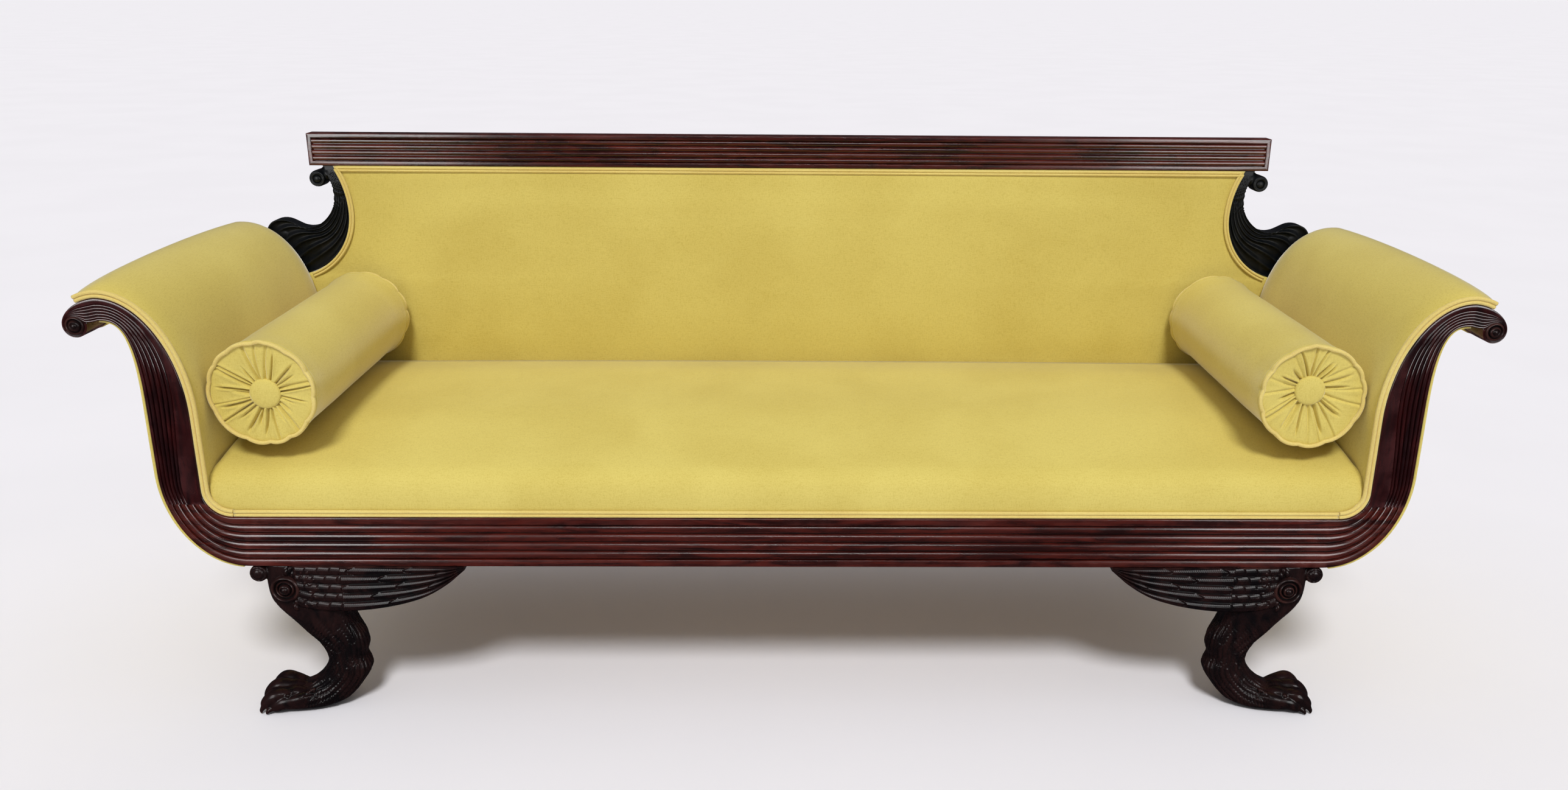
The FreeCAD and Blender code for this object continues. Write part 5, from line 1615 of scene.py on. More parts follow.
@dataclass
class Upholstery:
    """The tight seat and back, the arm pads and the cloth outside the frame."""

    finishes: Finishes
    brackets: CrestBrackets
    curves: ArmCurves = field(default_factory=ArmCurves)
    # half width of the seat behind, and in front where it fills the rail's corners
    seat_half: float = 915.0
    corner_half: float = 923.0
    # how wide the seat's sides and the back's edge roll over
    rolled: float = 16.0
    seat_front: float = 5.3
    seat_rear: float = 565.0
    lip: float = 378.0
    crown: float = 455.0
    # the seat's rise behind its front: steps back and heights
    seat_rise: tuple = (
        (0, 364), (0.4, 381), (3, 396), (9, 408.5), (21, 418.5), (42, 427), (80, 436), (145, 445), (240, 452),
        (350, 455), (450, 455),
    )
    # its fall to the back: steps ahead of its rear and heights
    seat_fall: tuple = ((40, 451), (10, 445.5), (1, 437), (0, 425))
    # half width and height of the back's edge below the brackets, hidden behind the arms
    back_skirt: tuple = ((954, 400.5), (954, 500), (955, 560), (960, 590), (970, 604))
    back_front: float = 571.0
    back_rear: float = 581.5
    back_low: float = 400.5
    back_high: float = 822.6
    back_crown: float = 12.0
    welt_radius: float = 3.1
    back_welt_radius: float = 2.45
    gap: float = 0.5
    roll_end: float = 35.0
    pad_depth: float = 565.2
    # depths behind the seat's front at which an arm pad's section is drawn
    pad_steps: tuple = (
        (0, 0.4, 1.6, 3.6, 7, 13, 22, 34, 50, 75), tuple(np.linspace(110, 500, 16)),
        (525, 541, 551, 558, 562.5, 564.6, 565.2),
    )
    # thickness of an arm pad low down, under its sweep, at its top and round the scroll
    pad_thick: tuple[float, ...] = (10.5, 11.0, 19.6, 14.0, 4.0, 1.2)
    outside_depth: tuple[float, float] = (2.5, 570.4)
    outside_swell: tuple[float, float] = (3.4, 5.4)
    welt_depth: float = 2.9
    back_welt_depth: float = 569.0
    # heights between which the back's welt follows the brackets
    back_welt_run: tuple[float, float] = (617.0, 818.0)
    # how much fuller an arm pad's top is, and how evenly from front to back
    arm_crown: tuple[float, float] = (0.5, 0.7)
    welt_end: float = 102.0
    welt_corner: float = 880.0
    lining_start: float = 62.5

    def piece(self, name: str, *nodes: str, cord: bool = False) -> Piece:
        """Specification of one piece of the gold cloth."""
        material = self.finishes.cord if cord else self.finishes.cloth
        return Piece(name, material, "gold_cloth", nodes, sharp=180.0)

    def seat(self) -> Shape:
        """The tight seat, whose front rolls over and whose sides are drawn in.

        Returns:
            The closed form.
        """
        near_side = 1 - 0.045 * (1 - np.sin(np.linspace(0, math.pi / 2, 9))[::-1])
        share = np.concatenate([near_side, np.linspace(0.93, 0, 34)])
        share = np.concatenate([share, -share[:-1][::-1]])
        inside = self.curves.inside_run()
        rings = []
        for x in share * self.seat_half:
            reach = (self.seat_half - abs(x)) / self.rolled
            drawn = 6 * (1 - math.sqrt(1 - (1 - min(reach, 1)) ** 2))
            floor = float(np.interp(abs(x), inside[:60, 0], inside[:60, 1])) + 0.4
            crown = self.crown - 4 * (x / self.seat_half) ** 2 - drawn
            front, rear = self.seat_front + drawn / 3, self.seat_rear - drawn / 2
            profile = [(rear - 3, floor), (front + 60, floor), (front + 2, floor), (front, floor + 5)]
            profile += [(front + step, height) for step, height in self.seat_rise]
            profile += [(rear - step, height) for step, height in self.seat_fall]
            points = np.array(profile, float)
            lifted = (points[:, 1] - self.lip).clip(0) / (self.crown - self.lip)
            points[:, 1] = np.maximum(points[:, 1] + lifted * (crown - self.crown), floor)
            ring = smooth_path(points, 64, closed=True)
            wider = 1 + (self.corner_half / self.seat_half - 1) * (1 - ease((ring[:, 0] - front) / 60))
            rings.append(np.column_stack([x * wider, ring]))
        return grid(np.array(rings), wrap=True, capped=True)

    def back(self) -> Shape:
        """The tight back, cut to the curve of the brackets.

        Returns:
            The closed form.
        """
        outline = np.concatenate([self.back_skirt, self.brackets.inner_edge()[::-1]])
        heights = np.concatenate([np.linspace(self.back_low, 610, 14), np.linspace(612, self.back_high, 34)])
        half = np.interp(heights, outline[:, 1], outline[:, 0]) - 0.6
        across = 0.5 * np.sin(np.linspace(-math.pi / 2, math.pi / 2, 90)) + 0.5 * np.linspace(-1, 1, 90)
        rows = []
        for height, reach in zip(heights, half):
            up = (height - self.back_low) / (self.back_high - self.back_low)
            ends = min(height - self.back_low, self.back_high - height)
            rolled = np.clip(np.minimum((1 - np.abs(across)) * reach, ends) / self.rolled, 0, 1)
            swell = self.back_crown * (1 - (2 * up - 1) ** 2) ** 0.8 * (1 - np.abs(across) ** 3)
            face = self.back_front + 4.5 - 4.5 * np.sqrt(1 - (1 - rolled) ** 2) - swell
            front = np.stack([across * reach, face, np.full_like(across, height)], -1)
            rear = front[::-1].copy()
            rear[:, 1] = self.back_rear
            rows.append(np.concatenate([front, rear[::4]]))
        return grid(np.array(rows), wrap=True, capped=True)

    def arm_pad(self) -> Shape:
        """Cloth over the inside of an arm, rolling over its scroll.

        Returns:
            The closed pad and the lining round the scroll's eye.
        """
        inner, _ = self.curves.upright()
        turns = np.linspace(self.curves.scroll_start(), self.roll_end, 24)[1:]
        spokes = self.curves.scroll(turns) - self.curves.eye
        reach = np.linalg.norm(spokes, axis=1)[:, None]
        tight = ease((100 - turns) / 30)[:, None]
        roll = self.curves.eye + spokes * (1 + ((self.curves.eye_round + 0.8) / reach - 1) * tight)
        behind = np.concatenate([np.zeros(len(inner)), 39.5 * (turns < 98)])
        path = np.concatenate([inner, roll])
        steps = np.concatenate([[0], np.cumsum(np.linalg.norm(np.diff(path, axis=0), axis=1))])
        low, sweep, top = 0, len(inner) - 36, len(inner)
        thick = np.interp(steps, steps[[low, sweep, top, top + 8, top + 13, -1]], self.pad_thick)
        thick[:12] = np.minimum(thick[:12], np.maximum(path[:12, 0] - self.curves.inner_x + 10.9, 2.0))
        base = offset(path, self.gap)
        over = ease((path[:, 1] - 560) / 120)
        depth = np.concatenate(self.pad_steps) + self.seat_front
        into, away = depth - self.seat_front, self.seat_front + self.pad_depth - depth
        opened = np.sqrt(1 - (1 - np.clip(into / 4.0, 0, 1)) ** 2) * 0.45 + 0.55
        closed = 0.1 + 0.9 * np.sqrt(1 - (1 - np.clip(away / 60, 0, 1)) ** 2)
        arched = self.arm_crown[0] * np.sin(np.pi * np.clip(into / 560, 0, 1)) ** self.arm_crown[1]
        rings = []
        for i, full in enumerate(thick):
            edge = min(7.6 / full, 0.92)
            rounded = edge + (1 - edge) * (1 - np.exp(-into / 24))
            fullness = rounded * opened * closed * (1 + arched * over[i])
            outward = offset(path, self.gap + full)[i] - base[i]
            front = in_space(base[i] + outward * fullness[:, None], np.maximum(depth, behind[i]))
            under = np.linspace(depth[-1], max(depth[0], behind[i]), 6)
            rear = in_space(np.repeat(base[i][None], 6, 0), under)
            rings.append(np.concatenate([front, rear]))
        angles = np.radians(np.linspace(self.roll_end + 25, -200, 40))[:, None]
        lining = around(self.curves.eye, self.curves.eye_round + np.array([-0.2, 1.0, 1.0, -0.2]), angles)
        near, far = self.lining_start, self.seat_front + self.pad_depth
        lining = in_space(lining, np.array([near, near, far, far]))
        return joined([grid(rows, wrap=True, capped=True) for rows in (np.array(rings), lining)])

    def outside_arm(self) -> Shape:
        """Cloth down the outside of an arm, from the scroll to the seat rail.

        Returns:
            The closed pad of the right arm.
        """
        _, outer = self.curves.upright()
        _, corner = self.curves.corner()
        path = evenly(np.concatenate([corner[corner[:, 0] > 874], outer[1:]]), 70)
        start, end = self.outside_depth
        low, high = self.outside_swell
        fullness = low + high * np.sin(np.pi * np.linspace(0.02, 0.98, len(path))) ** 0.6
        near = offset(path, -self.gap)
        away = offset(path, -self.gap - fullness) - near
        depth = [start, 3.4, 5.5, 10, 20, 40, *np.linspace(80, 520, 12), 548, 561, 567, 569.6, end]
        into = np.minimum(np.array(depth) - start, end - np.array(depth))
        rise = 0.45 + 0.55 * np.sqrt(1 - (1 - np.clip(into / 22, 0, 1)) ** 2)
        rings = []
        for place, step in zip(near, away):
            front = in_space(place + step * rise[:, None], np.array(depth))
            rear = in_space(np.repeat(place[None], 5, 0), np.linspace(end, start, 5))
            rings.append(np.concatenate([front, rear]))
        return grid(np.array(rings), wrap=True, capped=True)

    def double_welt(self, path: Array, y: float, count: int, radius: float) -> Shape:
        """Two cords side by side along the left of a run.

        Args:
            path: points (x, z) of the wood's edge.
            y: depth of the cords' axes.
            count: points along the run.
            radius: radius of each cord.

        Returns:
            Both cords and the cloth between them.
        """
        run = evenly(path, count)
        cords = []
        for i, distance in enumerate((self.gap + radius, self.gap + 3 * radius + 0.1)):
            place = in_space(offset(run, distance), y)
            place[:, 1] += waves(place, 70.0, 0.25, 5 + i)
            cords.append(tube(place, radius + 0.05, 12))
        web = tube(in_space(offset(run, self.gap + 2 * radius), y + 1.0), 1.5, 6)
        return joined([*cords, web])

    def build_welts(self) -> None:
        """Make the double welts beside the arms, over the rail and round the back."""
        inside = self.curves.inside_run()
        roll = self.curves.scroll(np.linspace(self.curves.scroll_start(), self.welt_end, 10))[1:]
        beside = np.concatenate([inside[inside[:, 0] > self.welt_corner], roll])
        arm = self.double_welt(beside, self.welt_depth, 240, self.welt_radius)
        for side in Side:
            self.piece(f"{side.word}_arm_cord", f"{side.word}_arm_welt", cord=True).make(arm.on(side))
        ends = [(x, self.curves.rail_top) for x in (-self.welt_corner, self.welt_corner)]
        seat = self.double_welt(np.array(ends), self.welt_depth, 300, 0.9 * self.welt_radius)
        self.piece("seat_cord", "seat_welt", cord=True).make(seat)
        edge = self.brackets.inner_edge()[::-1]
        neck = edge[-1][0]
        edge = edge[(edge[:, 1] > self.back_welt_run[0]) & (edge[:, 1] < self.back_welt_run[1])]
        curve = self.double_welt(edge, self.back_welt_depth, 110, self.back_welt_radius)
        ends = [(x, self.back_high + 0.4) for x in (neck - 6, 6 - neck)]
        crest = self.double_welt(np.array(ends), self.back_welt_depth, 280, self.back_welt_radius)
        self.piece("back_cord", "back_welt", cord=True).make(joined([curve.doubled(), crest]))

    def build(self) -> None:
        """Make every fixed piece of cloth."""
        seat, back = self.uneven(self.seat(), 0.7, 21), self.uneven(self.back(), 0.5, 22)
        free = [(0, -900, 900, 60), (1, 8, 548, 40), (2, 412, 999, 15)]
        self.pad("seat_cloth", "seat_pad", seat, ClothRun(free))
        free = [(0, -940, 940, 60), (2, 425, 812, 50), (1, -999, 573, 4)]
        self.pad("back_cloth", "back_pad", back, ClothRun(free, cap=4.0))
        pad, outside = self.uneven(self.arm_pad(), 0.35, 23), self.outside_arm()
        for side in Side:
            run = ClothRun([(1, 10, 552, 50)], cap=4.0, voxel=9.0, shown=(-0.7 * side.value, 0.0, 0.7))
            self.pad(f"{side.word}_arm_cloth", f"{side.word}_arm_pad", pad.on(side), run)
            self.pad(f"{side.word}_outside_arm_cloth", f"{side.word}_outside_arm_panel", outside.on(side))
        self.build_welts()

    def pad(self, name: str, node: str, shape: Shape, run: ClothRun | None = None) -> None:
        """Make one stuffed piece.

        Args:
            name: its name.
            node: the node that it stands for.
            shape: its drawn form.
            run: how its cloth swells, where it is simulated.
        """
        made = self.piece(name, node).make(shape)
        if run:
            run.swell(made)

    def uneven(self, shape: Shape, height: float, seed: int) -> Shape:
        """A cloth form with the slight swells of stuffing under it."""
        shape.points[:, 1] -= waves(shape.points, 330.0, height, seed) * 0.5
        return shape


@dataclass
class Bolsters:
    """Loose round bolsters with gathered ends, one on each side."""

    finishes: Finishes
    centre: tuple[float, float] = (829.4, 540.9)
    radius: float = 86.6
    front: float = 40.0
    length: float = 500.0
    button_radius: float = 24.5
    button_form: tuple = (
        (0.8, 7.5), (0.96, 5.6), (1.0, 3.4), (0.985, 1.6), (0.93, 0.0),
        (0.84, -1.1), (0.7, -1.9), (0.5, -2.5), (0.25, -2.8), (0.04, -2.9),
    )
    button_shift: float = -4.0
    button_rise: dict = field(default_factory=lambda: {Side.LEFT: -2.5, Side.RIGHT: 9.0})
    dish: float = 7.0
    piping_radius: float = 3.1
    steps: int = 480
    folds: int = 27
    # depth of a fold's crease and height of the rolls beside it
    fold_relief: tuple[float, float] = (6.6, 1.9)
    # radii that the folds reach and how often each occurs
    fold_reach: tuple = ((56.0, 64.0, 74.0, 90.0), (0.15, 0.2, 0.25, 0.4))
    # angle and width of the ruffle where the front piping is joined
    ruffle: tuple[float, float] = (1.66, 0.07)

    def scallop(self, turn: Array, seed: int) -> Array:
        """How far the rim swells between the tucks that draw it in.

        Args:
            turn: angles round the rim.
            seed: picks one pattern.

        Returns:
            A height from 0 in a tuck to about 1 between two.
        """
        random = np.random.default_rng(seed)
        phases = random.uniform(0, 6.28, 3)
        warped = 6 * turn + 0.7 * np.sin(2 * turn + phases[0])
        warped = warped + 0.5 * np.sin(3 * turn + phases[1]) + phases[2]
        return np.abs(np.sin(warped)) ** 0.7 * (0.75 + 0.25 * np.sin(turn + phases[1]))

    def pleats(self, turn: Array, radius: float, seed: int) -> Array:
        """Depth of the gathered cloth round one ring of an end.

        Args:
            turn: angles round the ring.
            radius: the ring's radius.
            seed: picks one pattern.

        Returns:
            One depth for each angle, positive into the bolster.
        """
        random = np.random.default_rng(seed)
        reaches, chances = self.fold_reach
        crest, side = self.fold_relief
        depth = np.zeros_like(turn)
        for index in range(self.folds):
            angle = 2 * math.pi * (index + random.uniform(-0.38, 0.38)) / self.folds
            width, deep = random.uniform(1.1, 2.3), random.uniform(0.3, 1.15)
            reach = random.choice(reaches, p=chances)
            curve = random.uniform(-0.12, 0.12) * (radius - 25) / 50
            away = radius * np.angle(np.exp(1j * (turn - angle - curve)))
            ended = float(ease(np.array((reach - radius) / 18)))
            fade = ended if reach < 80 else 1 - 0.4 * (radius - 25) / 55
            crease = np.exp(-((away / width) ** 2))
            roll = np.exp(-(((np.abs(away) - 2.4 * width) / (1.9 * width)) ** 2))
            depth += (crest * crease - side * roll) * deep * fade
        return depth

    def end(self, turn: Array, seed: int, rise: float) -> list[Array]:
        """Rings of one gathered end, from under its button out to its rim.

        Args:
            turn: angles round the bolster.
            seed: picks one pattern.
            rise: how far the button sits above the middle.

        Returns:
            Rings of x, depth into the bolster and z.
        """
        rings = []
        rim = self.radius - 7.5
        scallop = self.scallop(turn, seed)
        for share in (-0.3, -0.15, *np.linspace(0, 1, 34)):
            spread = self.button_radius + (rim - self.button_radius) * share
            past = max(share, 0)
            sunk = self.dish * (1 - past**1.4) + 2.0
            depth = sunk + self.pleats(turn, spread, seed) * (share >= 0) - 2.2 * math.sin(math.pi * past)
            middle = (self.centre[0] + self.button_shift * (1 - share), self.centre[1] + rise * (1 - share))
            ring = around(middle, spread + 1.6 * scallop * past**4, turn)
            rings.append(in_space(ring, depth + 1.2 * (1 - scallop) * past**4))
        for share, depth in ((0.3, 2.6), (0.65, 4.0), (1.0, 6.6)):
            rings.append(in_space(around(self.centre, rim + 5.3 * share + 2.0 * scallop, turn), depth))
        return rings

    def skin(self, seed: int, rise: float) -> Shape:
        """The cloth tube and both gathered ends as one closed form.

        Args:
            seed: picks one pattern.
            rise: how far the buttons sit above the middle.

        Returns:
            The closed form.
        """
        turn = np.linspace(0, 2 * math.pi, self.steps, endpoint=False)
        front, rear = self.end(turn, seed, rise), self.end(turn, seed + 1, rise)
        first, last = self.scallop(turn, seed), self.scallop(turn, seed + 1)
        rings = [ring + (0, self.front, 0) for ring in front]
        near = np.array([9, 13, 19, 27])
        for along in (*near, *np.linspace(38, self.length - 38, 26), *(self.length - near[::-1])):
            swell = 1.6 * (1 - (2 * along / self.length - 1) ** 4)
            gathered = first * math.exp(-along / 16) + last * math.exp(-(self.length - along) / 16)
            place = np.stack([100 * np.cos(turn), np.full_like(turn, along), 100 * np.sin(turn)], -1)
            radius = self.radius - 3.4 + swell + 2.0 * gathered + waves(place, 150.0, 0.5, seed)
            rings.append(in_space(around(self.centre, radius, turn), self.front + along))
        rings += [ring * (1, -1, 1) + (0, self.front + self.length, 0) for ring in reversed(rear)]
        return grid(np.array(rings), wrap=True, capped=True)

    def piping(self, seed: int) -> Shape:
        """The cord round each end, pulled in where the tucks are sewn.

        Args:
            seed: picks one pattern.

        Returns:
            Both cords.
        """
        turn = np.linspace(0, 2 * math.pi, 240, endpoint=False)
        cords = []
        for end, plane, inward in ((0, self.front, 1), (1, self.front + self.length, -1)):
            scallop = self.scallop(turn, seed + end)
            ruffle = np.exp(-(((turn - self.ruffle[0]) / self.ruffle[1]) ** 2)) if end == 0 else 0
            radius = self.radius - 6.4 + 3.8 * scallop + 2.4 * ruffle
            depth = plane + inward * (1.8 - 2.2 * scallop - 2.2 * ruffle)
            ring = in_space(around(self.centre, radius, turn), depth)
            cords.append(tube(ring, self.piping_radius, 12, loop=True))
        return joined(cords)

    def buttons(self, rise: float) -> Shape:
        """The covered buttons, round and nearly flat with a soft edge.

        Args:
            rise: how far they sit above the middle.

        Returns:
            Both buttons of one bolster.
        """
        forms = []
        middle = (self.centre[0] + self.button_shift, self.centre[1] + rise)
        for plane, inward in ((self.front, 1), (self.front + self.length, -1)):
            start = plane + inward * 4.5
            rim = [(share * self.button_radius, start + inward * depth) for share, depth in self.button_form]
            forms.append(lathe(rim, middle))
        return joined(forms)

    def build(self) -> None:
        """Make both bolsters with their piping and buttons."""
        for side, body, seed in ((Side.RIGHT, Body.RIGHT_BOLSTER, 41), (Side.LEFT, Body.LEFT_BOLSTER, 47)):
            word, rise = f"{side.word}_bolster", self.button_rise[side]
            for name, node, shape, material in (
                (f"{word}_cloth", word, self.skin(seed, rise), self.finishes.cloth),
                (f"{word}_cord", f"{word}_piping", self.piping(seed), self.finishes.cord),
                (f"{word}_covered_buttons", f"{word}_buttons", self.buttons(rise), self.finishes.cloth),
            ):
                made = Piece(name, material, "gold_cloth", (node,), body, 180.0).make(shape.on(side))
                if name.endswith("_cloth"):
                    ends = (1, self.front + 12, self.front + self.length - 12, 45.0)
                    ClothRun([ends], cap=2.6, voxel=9.0).swell(made)


@dataclass
class GroundCloths:
    """Webbing, sacking and the plain cloths at the back and underneath."""

    finishes: Finishes
    strap_width: float = 50.0
    strap_thickness: float = 1.5
    # outline of a strap's section, with slightly drawn-in faces, as shares of its width and thickness
    section: tuple = ((0, 0), (0.5, 0.12), (1, 0), (1, 1), (0.5, 0.88), (0, 1))
    back_strap_reach: float = 795.0
    tack_spacing: float = 34.0
    tack_radii: tuple[float, float, float] = (2.2, 1.0, 2.2)

    def limits(self, node: str) -> tuple[Array, Array]:
        """A node's lowest and highest corners, in millimetres from the rail's face."""
        low, high = (np.array(corner) / MM - (0.0, FACE_Y, 0.0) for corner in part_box(node))
        return low, high

    def stretched(self, name: str, node: str, material: bpy.types.Material, slot: str, give: float) -> None:
        """A stretched cloth in the place of a thin node, giving a little in its middle.

        Args:
            name: the piece's name.
            node: the node that it stands for.
            material: its finish.
            slot: the record's name for that finish.
            give: how far its middle yields, in millimetres.
        """
        low, high = self.limits(node)
        size, middle = high - low, (low + high) / 2
        thin = int(size.argmin())
        other = 3 - thin
        across, along = np.meshgrid(np.linspace(-1, 1, 80), np.linspace(-1, 1, 30))
        points = np.zeros((*across.shape, 3))
        points[..., 0] = middle[0] + across * size[0] / 2
        points[..., other] = middle[other] + along * size[other] / 2
        points[..., thin] = middle[thin] + waves(points, 120.0, 0.25, 9)
        yielding = give * (1 - across**6) * (1 - along**4)
        points[..., thin] += yielding if thin == 1 else -yielding
        made = Piece(name, material, slot, (node,), sharp=180.0).make(grid(points))

    def webbing(self, name: str, node: str, flat_way: int, straps: list[tuple]) -> None:
        """Straps of webbing as slightly uneven strips.

        Args:
            name: the piece's name.
            node: the node that it stands for.
            flat_way: the axis that the straps are thin along.
            straps: lowest and highest corner of each strap.
        """
        run = np.linspace(0, 1, 24)[:, None]
        section = np.array(self.section)
        forms = []
        for low, high in straps:
            size = high - low
            long_way = int(size.argmax())
            wide_way = 3 - long_way - flat_way
            points = np.empty((len(run), len(section), 3))
            points[..., long_way] = low[long_way] + size[long_way] * run
            points[..., wide_way] = low[wide_way] + size[wide_way] * section[:, 0]
            points[..., flat_way] = low[flat_way] + size[flat_way] * section[:, 1]
            forms.append(grid(points, wrap=True, capped=True))
        made = Piece(name, self.finishes.webbing, "webbing", (node,)).make(joined(forms))

    def row(self, low: Sequence[float], high: Sequence[float], way: int, count: int) -> list[tuple]:
        """Straps side by side.

        Args:
            low: lowest corner of the whole row.
            high: its highest corner.
            way: the axis that they are spaced along.
            count: how many there are.

        Returns:
            Lowest and highest corner of each strap.
        """
        pitch = (high[way] - low[way]) / count
        straps = []
        for i in range(count):
            first, last = np.array(low, float), np.array(high, float)
            first[way] = low[way] + (i + 0.5) * pitch - self.strap_width / 2
            last[way] = first[way] + self.strap_width
            straps.append((first, last))
        return straps

    def build(self) -> None:
        """Make the cloths that are seen from behind and below, and those inside."""
        gold, sacking = self.finishes.cloth, self.finishes.sacking
        self.stretched("outside_back_cloth", "outside_back_panel", gold, "gold_cloth", 0.5)
        self.stretched("bottom_cloth", "dust_cover", sacking, "sacking", 3.0)
        self.stretched("seat_canvas", "seat_sacking", sacking, "sacking", 0.0)
        self.stretched("back_canvas", "back_sacking", sacking, "sacking", 0.0)
        low, high = self.limits("seat_webbing")
        thick, reach = self.strap_thickness, self.back_strap_reach
        lower = self.row(low + (30, 0, 0), (high[0] - 30, high[1], low[2] + thick), 0, 14)
        upper = self.row((low[0], low[1] + 15, high[2] - thick), high - (0, 15, 0), 1, 5)
        self.webbing("seat_straps", "seat_webbing", 2, lower + upper)
        low, high = self.limits("back_webbing")
        straps = self.row((-reach, *low[1:]), (reach, *high[1:]), 0, 12)
        self.webbing("back_straps", "back_webbing", 1, straps)
        self.tacks()

    def tacks(self) -> None:
        """Rows of small tacks along the edges of the outside back."""
        low, high = self.limits("outside_back_panel")
        spots = []
        for x in np.arange(low[0] + 8, high[0] - 4, self.tack_spacing):
            spots += [(x, low[2] + 6), (x, high[2] - 6)]
        for z in np.arange(low[2] + 24, high[2] - 12, self.tack_spacing):
            spots += [(low[0] + 6, z), (high[0] - 6, z)]
        forms = [ellipsoid((x, high[1] + 0.2, z), self.tack_radii, 0.0, 8) for x, z in spots]
        Piece("back_tacks", self.finishes.tacks, "gold_cloth").make(joined(forms))


@dataclass
class CarriedFrame:
    """The frame's own timbers that stay as they are and only get a finish."""

    finishes: Finishes
    stained: tuple[str, ...] = ("rear_leg", "back_post", "rear_arm_board", "back_seat_rail")

    def build(self) -> None:
        """Give every node that is still shown its wood."""
        for name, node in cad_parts.items():
            if node.hide_render:
                continue
            wood = self.finishes.stained if name.endswith(self.stained) else self.finishes.timber
            if not node.material_slots:
                node.data.materials.append(None)
            for slot in node.material_slots:
                slot.material = wood


# Studio


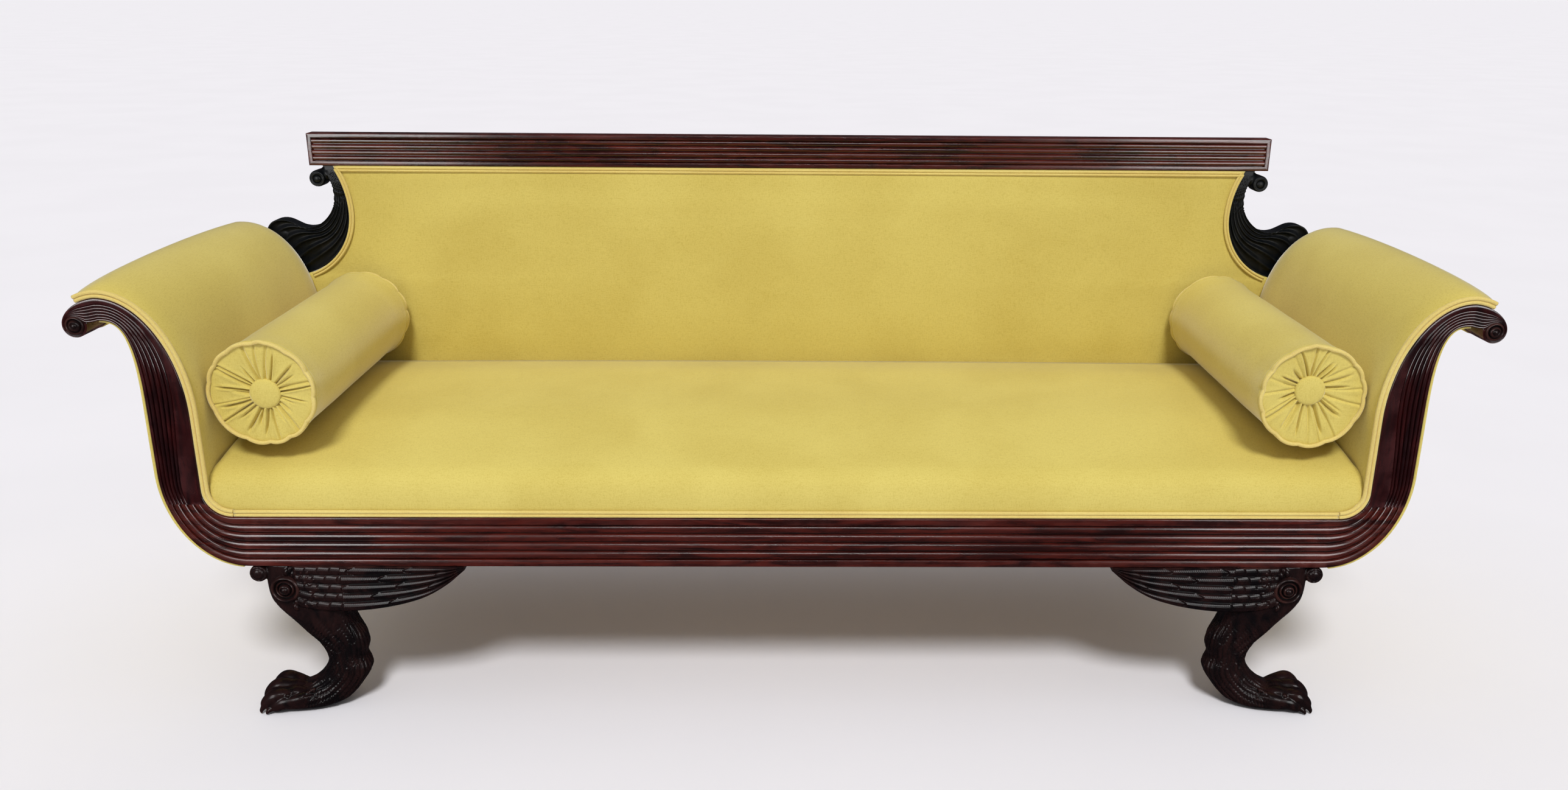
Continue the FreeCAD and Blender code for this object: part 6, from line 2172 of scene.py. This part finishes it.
@dataclass
class Studio:
    """Pale floor, soft light and the camera."""

    # width, focal length and sideways shift in pixels of the photo
    image_width: float = 2576.0
    focal: float = 2053.16
    shift: float = 41.66
    place: tuple[float, float, float] = (0.00324, -2.14495, 1.15207)
    yaw: float = -0.01451
    pitch: float = -0.31507
    roll: float = -0.00811
    sensor: float = 36.0
    # the sky's strength at the horizon and overhead
    sky: tuple[float, float] = (0.1, 0.58)
    # strength, spread in degrees and direction of the sun
    key: tuple = (2.0, 14.0, (0.0, -0.78, 1.0))
    # place, width and height, and power of each lamp
    low_lamp: tuple = ((1.85, -2.3, 1.0), (1.1, 1.3), 42.0)
    high_lamp: tuple = ((0.0, -2.45, 1.8), (1.4, 0.24), 20.0)
    floor_size: float = 400.0
    backdrop: tuple = colour(242, 240, 244)

    def build(self) -> None:
        """Set up the whole studio."""
        self.floor()
        self.lights()
        self.camera()

    def floor(self) -> None:
        """A pale floor that runs out of sight."""
        steps = np.linspace(-0.5, 0.5, 41) * self.floor_size
        x, y = np.meshgrid(steps, steps)
        shape = grid(np.stack([x, y, 0 * x], -1))
        made = new_object("floor", shape.points, shape.faces)
        material, graph, shader = new_material("pale_floor")
        share = graph.ranged(graph.noise(graph.place(), 1.5, 3.0), 0.3, 0.7)
        tint = graph.blended(share, colour(246, 244, 248), colour(248, 246, 250))
        graph.fill(shader, {"Base Color": tint, "Roughness": 0.9, "Specular IOR Level": 0.0})
        made.data.materials.append(material)
        made.visible_glossy = False

    def lights(self) -> None:
        """A wide soft sun from above the front and an even pale sky."""
        world = bpy.data.worlds.new("studio")
        bpy.context.scene.world = world
        world.use_nodes = True
        graph = Graph(world.node_tree)
        sky = graph.tree.nodes["Background"]
        height = graph.add("SeparateXYZ", {0: graph.add("TexCoord").outputs["Generated"]}).outputs["Z"]
        strength = graph.ranged(height, 0.0, 1.0, self.sky)
        graph.fill(sky.inputs, {"Color": (1.0, 0.99, 1.0, 1.0), "Strength": strength})
        gloss = graph.add("Background", {"Color": (0.9, 0.88, 1.0, 1.0), "Strength": 0.045})
        seen = graph.add("Background", {"Color": self.backdrop, "Strength": 1.0})
        ray = graph.add("LightPath").outputs
        mirrored = graph.add("MixShader", {0: ray["Is Glossy Ray"], 1: sky.outputs[0], 2: gloss.outputs[0]})
        final = graph.add("MixShader", {0: ray["Is Camera Ray"], 1: mirrored.outputs[0], 2: seen.outputs[0]})
        graph.fill(graph.tree.nodes["World Output"].inputs, {"Surface": final.outputs[0]})
        self.sun("key", *self.key)
        (x, y, z), size, power = self.low_lamp
        for side in Side:
            self.softbox(f"{side.word}_softbox", (side.value * x, y, z), size, power)
        self.softbox("high_softbox", *self.high_lamp)

    def sun(self, name: str, strength: float, spread: float, towards: tuple[float, float, float]) -> None:
        """One distant soft light.

        Args:
            name: its name.
            strength: its irradiance.
            spread: angle of its disc in degrees.
            towards: direction from the sofa to the light.
        """
        light = bpy.data.lights.new(name, "SUN")
        light.energy = strength
        light.angle = math.radians(spread)
        made = placed(name, light)
        made.rotation_euler = Vector(towards).to_track_quat("Z", "Y").to_euler()
        made.visible_glossy = False

    def softbox(self, name: str, place: tuple, size: tuple[float, float], power: float) -> None:
        """A broad lamp beside the camera, which only the polish catches.

        Args:
            name: its name.
            place: where it stands.
            size: its width and height.
            power: its power in watts.
        """
        light = bpy.data.lights.new(name, "AREA")
        light.shape = "RECTANGLE"
        light.size, light.size_y = size
        light.energy = power
        made = placed(name, light)
        made.location = place
        aim = Vector((place[0] * 0.3, 0.0, 0.6))
        made.rotation_euler = (Vector(place) - aim).to_track_quat("Z", "Y").to_euler()
        made.visible_diffuse = False

    def camera(self) -> None:
        """The camera, worked out from the photographed shape of the rails."""
        turn = Matrix.Rotation(self.yaw, 3, "Z")
        turn = turn @ Matrix.Rotation(self.pitch, 3, "X") @ Matrix.Rotation(self.roll, 3, "Y")
        axes = [turn @ Vector(axis) for axis in ((1, 0, 0), (0, 0, 1), (0, -1, 0))]
        rows = [[*(axis[i] for axis in axes), self.place[i]] for i in range(3)]
        lens = bpy.data.cameras.new("camera")
        lens.sensor_fit = "HORIZONTAL"
        lens.sensor_width = self.sensor
        lens.lens = self.focal * self.sensor / self.image_width
        lens.shift_x = -self.shift / self.image_width
        lens.clip_end = 600.0
        made = placed("camera", lens)
        made.matrix_world = Matrix([*rows, [0, 0, 0, 1]])
        bpy.context.scene.camera = made


def main() -> None:
    """Build every part of the sofa, then the studio round it."""
    logging.basicConfig(level=logging.INFO, format="%(name)s: %(message)s")
    finishes = Finishes()
    brackets = CrestBrackets(finishes)
    steps = {
        "reeded band": ReededBand(finishes),
        "crest rail": CrestRail(finishes),
        "brackets": brackets,
        "legs": LionLegs(finishes),
        "upholstery": Upholstery(finishes, brackets),
        "bolsters": Bolsters(finishes),
        "ground cloths": GroundCloths(finishes),
        "carried frame": CarriedFrame(finishes),
        "studio": Studio(),
    }
    for label, part in steps.items():
        part.build()
        LOG.info("built %s", label)
    bpy.context.scene.view_settings.view_transform = "Standard"


if __name__ == "__main__":
    main()
